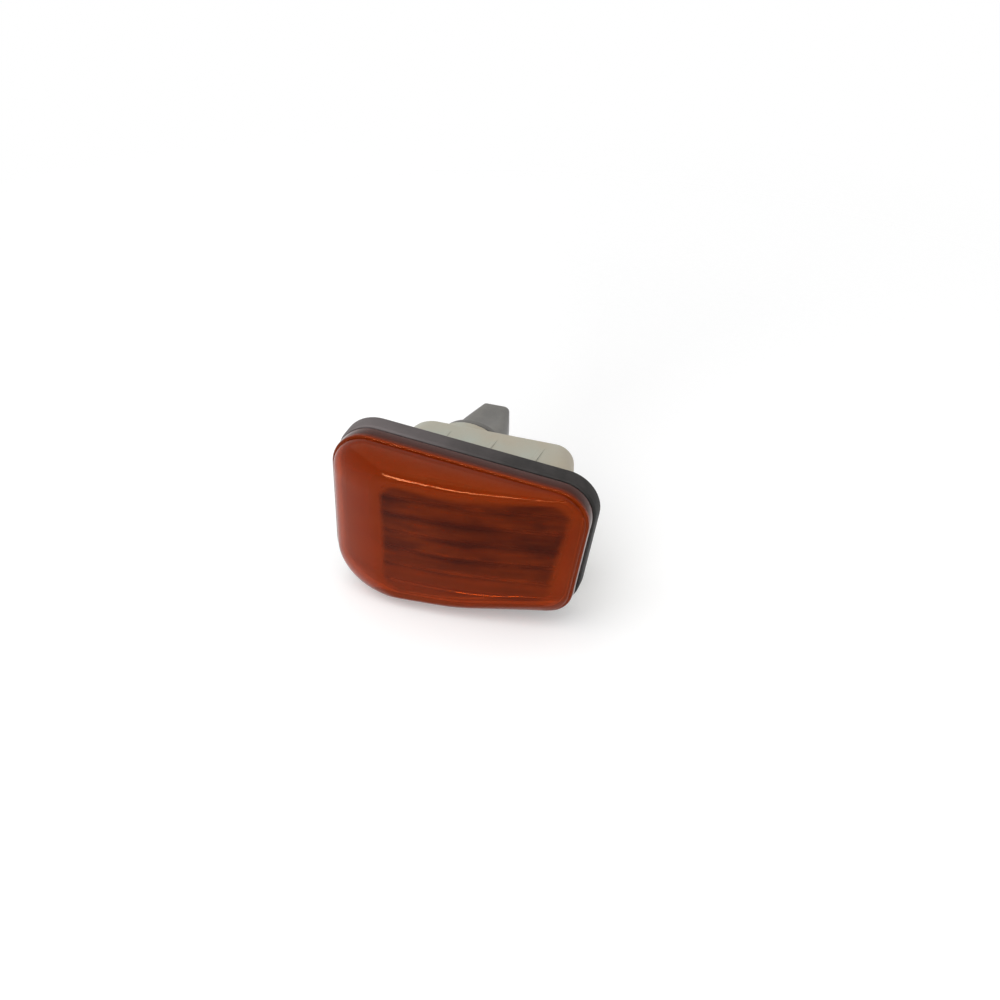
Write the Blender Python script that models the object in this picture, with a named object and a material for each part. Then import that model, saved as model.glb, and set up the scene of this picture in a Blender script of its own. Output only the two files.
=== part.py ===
"""Fender turn signal lamp: an amber wedge-shaped lens on a moulded housing, with a twist-in bulb holder.

Metres, +Z up. The lens faces -Y, the fender's outer skin lies against the gasket at y = 0,
and everything at y > 0 sits inside the fender. The lens is deep at -X and shallow at +X.
"""
import math

import bmesh
import bpy
from mathutils import Vector

# Outline of the lens, seen from the front: distances from the origin to its sides
LENS_LEFT = 0.0356
LENS_RIGHT_TOP = 0.0346
LENS_RIGHT_FOOT = 0.0287
LENS_TOP_LEFT = 0.0241
LENS_TOP_RIGHT = 0.0175
LENS_BOTTOM_LEFT = 0.0234
LENS_BOTTOM_BEND = 0.0225
LENS_BOTTOM_RIGHT = 0.0189
LENS_BEND_X = 0.0009
LENS_TOP_LEFT_RADIUS = 0.010
LENS_BOTTOM_LEFT_RADIUS = 0.0127
LENS_BEND_RADIUS = 0.080
LENS_BOTTOM_RIGHT_RADIUS = 0.0080
LENS_TOP_RIGHT_RADIUS = 0.0090

# Lens depth: a straight skirt, a rounded rim, a broad bevel up to the crease, and the face
SKIRT_DEPTH = 0.0042
RIM_SHOULDER = 0.0007
RIM_EDGE = 0.0005
FACE_HEIGHT_LEFT = 0.0074
FACE_HEIGHT_RIGHT = 0.0003
FACE_KNEE_X = -0.0010
FACE_KNEE_SOFTNESS = 0.0080
FACE_CROWN = 0.0006
LENS_WALL = 0.0022
BEVEL_END_ANGLE = math.radians(60)

# Crease around the face, measured in from the lens outline
CREASE_LEFT = 0.0135
CREASE_TOP_LEFT = 0.0072
CREASE_TOP_RIGHT = 0.0005
CREASE_RIGHT = 0.0024
CREASE_BOTTOM = 0.0026
CREASE_RADIUS = 0.0055
CREASE_TOP_RIGHT_RADIUS = 0.0048
CREASE_BOTTOM_LEFT_RADIUS = 0.0070
CREASE_FILLET = 0.0010
FILLET_LIMIT = 0.6

# Horizontal flutes moulded on the inside of the face
FLUTE_PITCH = 0.0052
FLUTE_HEIGHT = 0.0010
FLUTE_ROOT = 0.0003
FLUTE_MARGIN = 0.0012
FLUTE_COUNT = 7
FLUTE_CENTRE_Z = -0.0012

# Gasket and panel side
GASKET_THICKNESS = 0.0050
GASKET_OVERHANG = 0.0004
GASKET_EDGE = 0.0007
GASKET_RECESS = 0.0007
GASKET_RECESS_WIDTH = 0.0012
GAP = 0.0003

# Housing
WALL = 0.0020
FLANGE_THICKNESS = 0.0016
BODY_MARGIN_LEFT = 0.0070
BODY_MARGIN_RIGHT = 0.0037
BODY_MARGIN_TOP = 0.0042
BODY_MARGIN_BOTTOM = 0.0056
BODY_RADIUS = 0.0050
BODY_TOP_LEFT_RADIUS = 0.0085
BODY_STRAIGHT = 0.0010
BODY_DEPTH = 0.0206
BODY_EDGE = 0.0015
TAPER_LEFT = 0.0022
TAPER_RIGHT = 0.0056
TAPER_TOP = 0.0018
TAPER_BOTTOM = 0.0026
RIB_HEIGHT = 0.0008
RIB_WIDTH = 0.0012
RIB_SPACING = 0.0130

# Hook at the deep end of the lamp, which catches behind the fender
PANEL_THICKNESS = 0.0009
HOOK_REACH = 0.0050
HOOK_THICKNESS = 0.0024
HOOK_WIDTH = 0.0120
HOOK_LEAD = 0.0014
GUSSET_THICKNESS = 0.0016
GUSSET_LENGTH = 0.0055

# Spring clip at the shallow end, and the slotted seat that holds it
CLIP_THICKNESS = 0.0007
CLIP_WIDTH = 0.0080
CLIP_KNEE_REACH = 0.0028
CLIP_KNEE_Y = 0.0070
CLIP_BEND_RADIUS = 0.0010
CLIP_ARM_GAP = 0.0006
CLIP_TOE_TUCK = 0.0002
CLIP_HAIRPIN_OVERHANG = 0.0018
SEAT_FRONT = 0.0046
SEAT_BACK = 0.0128
SEAT_STAND = 0.0002
SEAT_LIP = 0.0009
SEAT_LIP_OVERLAP = 0.0013
SEAT_SIDE = 0.0017
SEAT_BARB = 0.0009
CLIP_WINDOW = 0.0030

# Bulb holder axis and its twist-lock
HOLDER_X = -0.0101
HOLDER_Z = 0.0
BARREL_WALL = 0.00235
LUG_REACH = 0.0020
LUG_THICKNESS = 0.0017
LUG_ANGLE = math.radians(20)
LUG_COUNT = 3
TURN_ANGLE = math.radians(40)
NOTCH_EASE = math.radians(3)
STOP_EASE = math.radians(2)
STOP_ANGLE = math.radians(6)
LUG_CLEARANCE = 0.0005
BOSS_WALL = 0.0016
BOSS_DEPTH = 0.0020
END_PLATE = 0.0016
SEAL_THICKNESS = 0.0012
SEAL_WIDTH = 0.0023
HOLDER_FLANGE_LIP = 0.0003
HOLDER_FLANGE_THICKNESS = 0.0018
HOLDER_EDGE = 0.0004
BARREL_LENGTH = 0.0150

# Grip and plug pocket at the rear of the holder
GRIP_LENGTH = 0.0190
GRIP_ROOT_X = 0.0096
GRIP_ROOT_Z = 0.0074
GRIP_TIP_X = 0.0041
GRIP_TIP_Z = 0.0048
GRIP_CORNER = 0.0016
GRIP_HOLLOW = 0.85
PLUG_WALL = 0.0012
PLUG_DEPTH = 0.0125
LATCH_WIDTH = 0.0030
LATCH_HEIGHT = 0.0009
LATCH_LENGTH = 0.0036
LATCH_SETBACK = 0.0014

# Wedge-base bulb
BULB_RADIUS = 0.00515
BULB_LENGTH = 0.0268
BULB_WEDGE_LENGTH = 0.0090
BULB_WEDGE_WIDTH = 0.0095
BULB_WEDGE_THICKNESS = 0.0023
BULB_GLASS = 0.0007
BULB_PINCH_BEFORE = 0.0030
BULB_PINCH_AFTER = 0.0010
BULB_PINCH_WEB = 0.0004
BULB_POCKET_FLOOR = 0.0006
LEAD_RADIUS = 0.00025
LEAD_SPREAD = 0.0026
LEAD_FOLD = 0.0050
LEAD_TURN = 0.0004
LEAD_HOOK = 0.0010
LEAD_SPLAY = 0.0029
FILAMENT_SPREAD = 0.0022
FILAMENT_RISE = 0.0016
FILAMENT_DROP = 0.0008
FILAMENT_SETBACK = 0.0030
FILAMENT_COIL_RADIUS = 0.00040
FILAMENT_WIRE_RADIUS = 0.00010
FILAMENT_TURNS = 9

# Contact strips
TERMINAL_THICKNESS = 0.0005
TERMINAL_WIDTH = 0.0026
BLADE_OFFSET = 0.0016
BLADE_SHORT = 0.0048
CONTACT_REACH = 0.0022
CONTACT_DIMPLE = 0.0002
CONTACT_BEND = 0.0030
CRANK_LENGTH = 0.0021
CRANK_BEND = 0.0006

# Facets
CORNER_STEPS = 8
LENS_SIDE_POINTS = (1, 3, 3, 1, 7)
BEVEL_STEPS = 6
FACE_SHARES = (1.0, 0.78, 0.52, 0.28, 0.1)
ROUND_STEPS = 40
BULB_STEPS = 5
SMOOTH_ANGLE = math.radians(21)

# Planes worked out from the sizes above
SKIRT_REAR = -(GASKET_THICKNESS + GAP)
RIM_FRONT = SKIRT_REAR - SKIRT_DEPTH
BOSS_REAR = BODY_DEPTH + BOSS_DEPTH
LUG_REAR = BOSS_REAR - END_PLATE - GAP
LUG_FRONT = LUG_REAR - LUG_THICKNESS
SEAL_FRONT = BOSS_REAR + GAP
HOLDER_FLANGE_FRONT = SEAL_FRONT + SEAL_THICKNESS + GAP
HOLDER_FLANGE_REAR = HOLDER_FLANGE_FRONT + HOLDER_FLANGE_THICKNESS
BARREL_FRONT = HOLDER_FLANGE_FRONT - BARREL_LENGTH
GRIP_END = HOLDER_FLANGE_REAR + GRIP_LENGTH
BARREL_RADIUS = BULB_RADIUS + GAP + BARREL_WALL
SEAL_INNER = BARREL_RADIUS + GAP
SEAL_OUTER = SEAL_INNER + SEAL_WIDTH
HOLDER_FLANGE_RADIUS = SEAL_OUTER + HOLDER_FLANGE_LIP
LUG_RADIUS = BARREL_RADIUS + LUG_REACH
BOSS_BORE = LUG_RADIUS + LUG_CLEARANCE
BOSS_RADIUS = BOSS_BORE + BOSS_WALL
PLUG_FLOOR = GRIP_END - PLUG_DEPTH
BULB_BASE = BARREL_FRONT + BULB_WEDGE_LENGTH + BULB_POCKET_FLOOR
BULB_POCKET_END = BULB_BASE + 2 * LEAD_RADIUS + 2 * GAP
LEAD_PLANE = BULB_WEDGE_THICKNESS / 2 + GAP + LEAD_RADIUS
TERMINAL_PLANE = LEAD_PLANE + LEAD_RADIUS + GAP + TERMINAL_THICKNESS / 2


def clear_scene():
    for old in list(bpy.data.objects):
        bpy.data.objects.remove(old)


def finish(name, colour, roughness, metallic=0.0, alpha=1.0):
    """A Principled material for one sub-part."""
    result = bpy.data.materials.new(name)
    result.use_nodes = True
    shader = result.node_tree.nodes["Principled BSDF"]
    shader.inputs["Base Color"].default_value = (*colour, 1.0)
    shader.inputs["Roughness"].default_value = roughness
    shader.inputs["Metallic"].default_value = metallic
    shader.inputs["Alpha"].default_value = alpha
    result.diffuse_color = (*colour, alpha)
    return result


def add_object(name, data, parent=None):
    result = bpy.data.objects.new(name, data)
    bpy.context.scene.collection.objects.link(result)
    result.parent = parent
    return result


def dress(piece, material):
    """Gives a finished piece its material and smooth shading between its sharp edges."""
    piece.data.materials.append(material)
    piece.data.shade_smooth()
    piece.data.set_sharp_from_angle(angle=SMOOTH_ANGLE)
    return piece


def mark_cutter(piece):
    piece.hide_render = True
    piece.display_type = "WIRE"
    return piece


def closed_mesh(name, vertices, faces):
    """A mesh with its faces turned outwards, from closed lists of faces."""
    mesh = bmesh.new()
    corners = [mesh.verts.new(vertex) for vertex in vertices]
    for face in faces:
        mesh.faces.new([corners[index] for index in face])
    bmesh.ops.recalc_face_normals(mesh, faces=mesh.faces)
    data = bpy.data.meshes.new(name)
    mesh.to_mesh(data)
    mesh.free()
    return data


def loft(name, rings, parent=None, fan=False, closed=False):
    """A solid through rings of equal point counts, capped flat, fanned to its middle, or joined end to end."""
    count = len(rings[0])
    vertices = [point for ring in rings for point in ring]
    faces = []
    spans = len(rings) if closed else len(rings) - 1
    for span in range(spans):
        near = span * count
        far = (span + 1) % len(rings) * count
        for index in range(count):
            after = (index + 1) % count
            faces.append((near + index, near + after, far + after, far + index))
    if not closed:
        faces.append(tuple(range(count)))
        last = (len(rings) - 1) * count
        if fan:
            middle = sum((Vector(point) for point in rings[-1]), Vector()) / count
            vertices.append(tuple(middle))
            hub = len(vertices) - 1
            faces.extend((last + index, last + (index + 1) % count, hub) for index in range(count))
        else:
            faces.append(tuple(range(last, last + count)))
    return add_object(name, closed_mesh(name, vertices, faces), parent)


def box(name, low, high, parent=None):
    """A block between two opposite corners."""
    rings = []
    for y in (low[1], high[1]):
        rings.append([(low[0], y, low[2]), (high[0], y, low[2]), (high[0], y, high[2]), (low[0], y, high[2])])
    return loft(name, rings, parent)


def combine(target, operand, operation):
    """Adds a Boolean modifier whose operand stays in the scene as a hidden guide."""
    mark_cutter(operand)
    modifier = target.modifiers.new(operand.name, "BOOLEAN")
    modifier.solver = "EXACT"
    modifier.operation = operation
    modifier.object = operand
    return operand


def cut(target, cutter):
    return combine(target, cutter, "DIFFERENCE")


def join(target, addition):
    return combine(target, addition, "UNION")


def rounded_polygon(corners, radii, insets=None, steps=CORNER_STEPS, side_points=None):
    """Outline in (x, z) with each side moved in by its inset and each corner an arc of equal steps.

    side_points gives how many points follow each corner's arc along the straight side after it.
    """
    count = len(corners)
    insets = insets or [0.0] * count
    side_points = side_points or [0] * count
    points = [Vector(corner) for corner in corners]
    sides = [(points[(i + 1) % count] - points[i]).normalized() for i in range(count)]
    inward = [Vector((-side.y, side.x)) for side in sides]
    moved = []
    for i in range(count):
        before = i - 1
        cross = sides[before].x * sides[i].y - sides[before].y * sides[i].x
        if abs(cross) < 0.02:
            moved.append(points[i] + inward[i] * insets[i])
            continue
        start = points[before] + inward[before] * insets[before]
        target = points[i] + inward[i] * insets[i]
        offset = target - start
        along = (offset.x * sides[i].y - offset.y * sides[i].x) / cross
        moved.append(start + sides[before] * along)
    arcs = []
    for i in range(count):
        before = sides[i - 1]
        after = sides[i]
        turn = math.atan2(before.x * after.y - before.y * after.x, before.dot(after))
        room = 0.48 * min((moved[i] - moved[i - 1]).length, (moved[(i + 1) % count] - moved[i]).length)
        reach = min(radii[i] * math.tan(abs(turn) / 2), room)
        start = moved[i] - before * reach
        end = moved[i] + after * reach
        if abs(turn) < 0.01:
            spread = 0.02 * room
            start = moved[i] - before * spread
            end = moved[i] + after * spread
            arcs.append([start.lerp(end, step / steps) for step in range(steps + 1)])
            continue
        radius = reach / math.tan(abs(turn) / 2)
        side_sign = math.copysign(1.0, turn)
        centre = start + Vector((-before.y, before.x)) * radius * side_sign
        arcs.append(arc_points(centre, start, turn, steps))
    outline = []
    for i in range(count):
        outline.extend(arcs[i])
        end = arcs[i][-1]
        next_start = arcs[(i + 1) % count][0]
        extra = side_points[i]
        outline.extend(end.lerp(next_start, (step + 1) / (extra + 1)) for step in range(extra))
    return outline


def arc_points(centre, start, turn, steps):
    """Points from start about the centre, through the turn."""
    arm = start - centre
    points = []
    for step in range(steps + 1):
        angle = turn * step / steps
        points.append(centre + Vector((arm.x * math.cos(angle) - arm.y * math.sin(angle),
                                       arm.x * math.sin(angle) + arm.y * math.cos(angle))))
    return points


def at_plane(outline, y):
    return [(point.x, y, point.y) for point in outline]


def circle(radius, y, steps=ROUND_STEPS):
    turns = [2 * math.pi * step / steps for step in range(steps)]
    return [(radius * math.cos(turn), y, radius * math.sin(turn)) for turn in turns]


def turned(name, profile, parent=None, closed=False):
    """A round piece about its own Y axis, through (radius, y) pairs."""
    return loft(name, [circle(radius, y) for radius, y in profile], parent, closed=closed)


def sectors(name, sweeps, inner, outer, front, back, parent=None, steps=4):
    """Ring sectors about the Y axis, one closed body for each (start, end) angle."""
    vertices = []
    faces = []
    for start, end in sweeps:
        base = len(vertices)
        for step in range(steps + 1):
            angle = start + (end - start) * step / steps
            for radius, y in ((inner, front), (outer, front), (outer, back), (inner, back)):
                vertices.append((radius * math.cos(angle), y, radius * math.sin(angle)))
        for step in range(steps):
            near = base + 4 * step
            for side in range(4):
                after = (side + 1) % 4
                faces.append((near + side, near + after, near + 4 + after, near + 4 + side))
        faces.append(tuple(base + side for side in range(4)))
        faces.append(tuple(base + 4 * steps + side for side in range(4)))
    return add_object(name, closed_mesh(name, vertices, faces), parent)


def rounded_path(points, radii, steps=5):
    """An open path in a plane, with its inner corners rounded."""
    points = [Vector(point) for point in points]
    path = [points[0]]
    for i in range(1, len(points) - 1):
        before = (points[i] - points[i - 1]).normalized()
        after = (points[i + 1] - points[i]).normalized()
        turn = math.atan2(before.x * after.y - before.y * after.x, before.dot(after))
        reach = radii[i - 1] * math.tan(abs(turn) / 2)
        start = points[i] - before * reach
        centre = start + Vector((-before.y, before.x)) * math.copysign(radii[i - 1], turn)
        path.extend(arc_points(centre, start, turn, steps))
    path.append(points[-1])
    return path


def strip_section(path, thickness):
    """Closed outline of a bent strip: the path offset by half its thickness to both sides."""
    left = []
    right = []
    for i, point in enumerate(path):
        ahead = path[min(i + 1, len(path) - 1)]
        behind = path[max(i - 1, 0)]
        along = (ahead - behind).normalized()
        side = Vector((-along.y, along.x)) * thickness / 2
        left.append(point + side)
        right.append(point - side)
    return left + right[::-1]


def corner_height(x, corner_a, corner_b):
    """Height of a straight outline side at x."""
    share = (x - corner_a[0]) / (corner_b[0] - corner_a[0])
    return corner_a[1] + share * (corner_b[1] - corner_a[1])


LENS_CORNERS = (
    (-LENS_LEFT, LENS_TOP_LEFT),
    (-LENS_LEFT, -LENS_BOTTOM_LEFT),
    (LENS_BEND_X, -LENS_BOTTOM_BEND),
    (LENS_RIGHT_FOOT, -LENS_BOTTOM_RIGHT),
    (LENS_RIGHT_TOP, LENS_TOP_RIGHT),
)
LENS_RADII = (LENS_TOP_LEFT_RADIUS, LENS_BOTTOM_LEFT_RADIUS, LENS_BEND_RADIUS,
              LENS_BOTTOM_RIGHT_RADIUS, LENS_TOP_RIGHT_RADIUS)

BODY_LEFT = LENS_LEFT - BODY_MARGIN_LEFT
BODY_BOTTOM = min(LENS_BOTTOM_LEFT, LENS_BOTTOM_BEND, LENS_BOTTOM_RIGHT) - BODY_MARGIN_BOTTOM
FOOT_SHARE = (LENS_BOTTOM_RIGHT - BODY_BOTTOM) / (LENS_BOTTOM_RIGHT + LENS_TOP_RIGHT)
BODY_RIGHT = LENS_RIGHT_FOOT + FOOT_SHARE * (LENS_RIGHT_TOP - LENS_RIGHT_FOOT) - BODY_MARGIN_RIGHT
BODY_TOP = corner_height(BODY_RIGHT, LENS_CORNERS[0], LENS_CORNERS[4]) - BODY_MARGIN_TOP
BODY_CORNERS = ((-BODY_LEFT, BODY_TOP), (-BODY_LEFT, -BODY_BOTTOM),
                (BODY_RIGHT, -BODY_BOTTOM), (BODY_RIGHT, BODY_TOP))
BODY_RADII = (BODY_TOP_LEFT_RADIUS, BODY_RADIUS, BODY_RADIUS, BODY_RADIUS)
BODY_TAPERS = (TAPER_LEFT, TAPER_BOTTOM, TAPER_RIGHT, TAPER_TOP)


def lens_outline(inset, y):
    radii = [max(radius - inset, 0.001) for radius in LENS_RADII]
    outline = rounded_polygon(LENS_CORNERS, radii, [inset] * len(LENS_CORNERS), side_points=LENS_SIDE_POINTS)
    return at_plane(outline, y)


def body_outline(inset, y, depth_share=0.0):
    """Housing body outline, narrowed by its tapers towards the rear."""
    insets = [inset + taper * depth_share for taper in BODY_TAPERS]
    radii = [max(radius - inset, 0.001) for radius in BODY_RADII]
    return at_plane(rounded_polygon(BODY_CORNERS, radii, insets), y)


def face_fall(x):
    """How far the face has fallen back at x, from 0 at the deep end towards 1 at the shallow end."""
    def ramp(position):
        run = position - FACE_KNEE_X
        return (math.hypot(run, FACE_KNEE_SOFTNESS) + run) / 2
    start = ramp(-LENS_LEFT)
    end = ramp(LENS_RIGHT_TOP)
    return (ramp(x) - start) / (end - start)


def face_plane(x):
    height = FACE_HEIGHT_LEFT + (FACE_HEIGHT_RIGHT - FACE_HEIGHT_LEFT) * face_fall(x)
    return RIM_FRONT - height


def crease_outline(inset):
    """Outline of the lens face, with its top side level while the lens outline falls to the right."""
    corners = (
        (-LENS_LEFT + CREASE_LEFT, LENS_TOP_LEFT - CREASE_TOP_LEFT),
        (-LENS_LEFT + CREASE_LEFT, -LENS_BOTTOM_LEFT + CREASE_BOTTOM),
        (LENS_BEND_X, -LENS_BOTTOM_BEND + CREASE_BOTTOM),
        (LENS_RIGHT_FOOT - CREASE_RIGHT, -LENS_BOTTOM_RIGHT + CREASE_BOTTOM),
        (LENS_RIGHT_TOP - CREASE_RIGHT, LENS_TOP_RIGHT - CREASE_TOP_RIGHT),
    )
    radii = (CREASE_RADIUS, CREASE_BOTTOM_LEFT_RADIUS, LENS_BEND_RADIUS, CREASE_RADIUS, CREASE_TOP_RIGHT_RADIUS)
    radii = [max(radius - inset, 0.001) for radius in radii]
    return rounded_polygon(corners, radii, [inset] * len(corners), side_points=LENS_SIDE_POINTS)


def bevel_rings(foot, crease, offset, steps=BEVEL_STEPS):
    """Rings that rise upright from the foot ring and lean over to the crease."""
    rings = []
    for step in range(1, steps + 1):
        angle = BEVEL_END_ANGLE * step / steps
        inward = (1 - math.cos(angle)) / (1 - math.cos(BEVEL_END_ANGLE))
        forward = math.sin(angle) / math.sin(BEVEL_END_ANGLE)
        ring = []
        for base, top in zip(foot, crease):
            x = base[0] + (top.x - base[0]) * inward
            z = base[2] + (top.y - base[2]) * inward
            y = base[1] + (face_plane(top.x) + offset - base[1]) * forward
            ring.append((x, y, z))
        rings.append(ring)
    return rings


def face_rings(crease, offset, crown):
    """Rings from just inside the crease to the middle of the face, gently crowned."""
    middle = sum(crease, Vector((0.0, 0.0))) / len(crease)
    rings = []
    for share in FACE_SHARES:
        ring = []
        for corner in crease:
            reach = (corner - middle).length - CREASE_FILLET
            point = middle + (corner - middle).normalized() * reach * share
            ring.append((point.x, face_plane(point.x) + offset - crown * (1 - share * share), point.y))
        rings.append(ring)
    return rings


def soften_crease(bevel, face):
    """Eases the sharp last ring of the bevel into a rounded crease before the first ring of the face."""
    below, crease, above = ([Vector(point) for point in ring] for ring in (bevel[-2], bevel[-1], face[0]))
    start = []
    middle = []
    for low, peak, high in zip(below, crease, above):
        reach = min(CREASE_FILLET, (low - peak).length * FILLET_LIMIT)
        near = peak + (low - peak).normalized() * reach
        start.append(tuple(near))
        middle.append(tuple((near + peak * 2 + high) / 4))
    return bevel[:-1] + [start, middle] + face


def build_lens(material):
    rings = [lens_outline(0.0, SKIRT_REAR), lens_outline(0.0, RIM_FRONT + RIM_EDGE)]
    rings.append(lens_outline(RIM_EDGE * 0.3, RIM_FRONT + RIM_EDGE * 0.3))
    rings.append(lens_outline(RIM_EDGE, RIM_FRONT))
    foot = lens_outline(RIM_SHOULDER, RIM_FRONT)
    rings.append(foot)
    crease = crease_outline(0.0)
    rings += soften_crease(bevel_rings(foot, crease, 0.0), face_rings(crease, 0.0, FACE_CROWN))
    lens = loft("lens", rings, fan=True)

    inner_foot = lens_outline(LENS_WALL, RIM_FRONT + LENS_WALL - RIM_SHOULDER / 2)
    inner_crease = crease_outline(LENS_WALL / 2)
    rings = [lens_outline(LENS_WALL, SKIRT_REAR + LENS_WALL), inner_foot]
    bevel = bevel_rings(inner_foot, inner_crease, LENS_WALL)
    rings += soften_crease(bevel, face_rings(inner_crease, LENS_WALL, 0.0))
    cut(lens, loft("guide_lens_cavity", rings, fan=True))
    join(lens, build_flutes())
    return dress(lens, material)


def build_flutes():
    """A slab of level flutes that follows the inside of the face, trimmed to the crease outline."""
    arc_steps = 5
    foot = FLUTE_CENTRE_Z - FLUTE_PITCH * FLUTE_COUNT / 2
    profile = [(-FLUTE_ROOT, foot + FLUTE_PITCH * FLUTE_COUNT), (-FLUTE_ROOT, foot)]
    for flute in range(FLUTE_COUNT):
        for step in range(arc_steps):
            share = step / arc_steps
            bulge = FLUTE_HEIGHT * math.sin(math.pi * share)
            profile.append((FLUTE_ROOT + bulge, foot + FLUTE_PITCH * (flute + share)))
    profile.append((FLUTE_ROOT, foot + FLUTE_PITCH * FLUTE_COUNT))
    stations = 12
    start = -LENS_LEFT
    length = LENS_LEFT + LENS_RIGHT_TOP
    rings = []
    for station in range(stations + 1):
        x = start + length * station / stations
        inner = face_plane(x) + LENS_WALL
        rings.append([(x, inner + depth, z) for depth, z in profile])
    slab = loft("guide_flutes", rings)
    zone = crease_outline(LENS_WALL / 2 + FLUTE_MARGIN)
    depth = FACE_HEIGHT_LEFT + SKIRT_DEPTH
    trim = loft("guide_flute_zone", [at_plane(zone, RIM_FRONT - depth), at_plane(zone, SKIRT_REAR)])
    combine(slab, trim, "INTERSECT")
    return slab


def build_gasket(material):
    outer = -GASKET_OVERHANG
    front = -GASKET_THICKNESS
    rings = [
        lens_outline(outer + GASKET_EDGE, front),
        lens_outline(outer + GASKET_EDGE * 0.3, front + GASKET_EDGE * 0.3),
        lens_outline(outer, front + GASKET_EDGE),
        lens_outline(outer, -GASKET_EDGE),
        lens_outline(outer + GASKET_EDGE * 0.3, -GASKET_EDGE * 0.3),
        lens_outline(outer + GASKET_EDGE, 0.0),
    ]
    gasket = loft("gasket", rings)
    cut(gasket, loft("guide_gasket_hole", [
        body_outline(-GAP, front - WALL),
        body_outline(-GAP, WALL),
    ]))
    recess = GAP + GASKET_RECESS_WIDTH
    cut(gasket, loft("guide_gasket_recess", [
        body_outline(-recess, -GASKET_RECESS),
        body_outline(-recess - GASKET_RECESS, 0.0),
        body_outline(-recess - GASKET_RECESS, WALL),
    ]))
    return dress(gasket, material)


def body_at(y, inset):
    share = max(0.0, (y - BODY_STRAIGHT) / (BODY_DEPTH - BODY_STRAIGHT))
    return body_outline(inset, y, share)


def right_wall_x(y):
    """Outer face of the housing's sloping end wall."""
    share = max(0.0, (y - BODY_STRAIGHT) / (BODY_DEPTH - BODY_STRAIGHT))
    return BODY_RIGHT - TAPER_RIGHT * share


def build_housing(material, axis):
    shell = loft("housing", [
        body_at(SKIRT_REAR - FLANGE_THICKNESS / 2, 0.0),
        body_at(BODY_STRAIGHT, 0.0),
        body_at(BODY_DEPTH - BODY_EDGE, 0.0),
        body_at(BODY_DEPTH - BODY_EDGE * 0.3, BODY_EDGE * 0.3),
        body_at(BODY_DEPTH, BODY_EDGE),
    ])
    rim = LENS_WALL + GAP
    flange_front = SKIRT_REAR - FLANGE_THICKNESS
    join(shell, loft("guide_flange", [
        lens_outline(rim, SKIRT_REAR),
        lens_outline(rim, flange_front + GAP),
        lens_outline(rim + GAP, flange_front),
    ]))
    join(shell, turned("guide_boss", [
        (BOSS_RADIUS, BODY_DEPTH - WALL / 2),
        (BOSS_RADIUS, BOSS_REAR - GAP),
        (BOSS_RADIUS - GAP, BOSS_REAR),
    ], axis))
    add_hook(shell)
    add_ribs(shell)
    add_clip_seat(shell)
    cut(shell, loft("guide_bowl", [
        body_at(flange_front - WALL, WALL),
        body_at(BODY_STRAIGHT, WALL),
        body_at(BODY_DEPTH - WALL, WALL),
    ]))
    cut_twist_lock(shell, axis)
    return dress(shell, material)


def add_hook(shell):
    """Tongue that catches behind the fender, with a sloping lead-in and two gussets."""
    near = PANEL_THICKNESS + GAP
    far = near + HOOK_THICKNESS
    tip = -BODY_LEFT - HOOK_REACH
    root = -BODY_LEFT + WALL
    half = HOOK_WIDTH / 2
    outline = [(root, near), (tip + HOOK_LEAD, near), (tip, near + HOOK_LEAD / 2), (tip, far), (root, far)]
    tongue = [[(x, y, z) for x, y in outline] for z in (-half, half)]
    join(shell, loft("guide_hook", tongue))
    for side in (-1, 1):
        outer = side * half
        inner = side * (half - GUSSET_THICKNESS)
        corner = far - HOOK_THICKNESS / 2
        web = [(root, corner), (tip + HOOK_LEAD, corner), (root, far + GUSSET_LENGTH)]
        sides = [[(x, y, z) for x, y in web] for z in (inner, outer)]
        join(shell, loft(f"guide_gusset_{'lower' if side < 0 else 'upper'}", sides))


def add_ribs(shell):
    """Locating ribs along the body, above and below, that centre it in the fender's hole."""
    for side in (-1, 1):
        surface = BODY_TOP if side > 0 else BODY_BOTTOM
        taper = TAPER_TOP if side > 0 else TAPER_BOTTOM
        for place in (-1, 0, 1):
            centre = place * RIB_SPACING
            rings = []
            for y, stand in ((GAP, RIB_HEIGHT), (BODY_DEPTH - BODY_EDGE - WALL, 0.0)):
                share = max(0.0, (y - BODY_STRAIGHT) / (BODY_DEPTH - BODY_STRAIGHT))
                height = surface - taper * share
                low = side * (height - WALL / 2)
                high = side * (height + stand)
                left = centre - RIB_WIDTH / 2
                right = centre + RIB_WIDTH / 2
                rings.append([(left, y, low), (right, y, low), (right, y, high), (left, y, high)])
            edge = "top" if side > 0 else "bottom"
            join(shell, loft(f"guide_rib_{edge}_{place + 2}", rings))


def seat_face():
    """Plane in which the clip's inner leg lies, just outside the widest part of the end wall."""
    return right_wall_x(SEAT_FRONT) + SEAT_STAND


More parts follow.
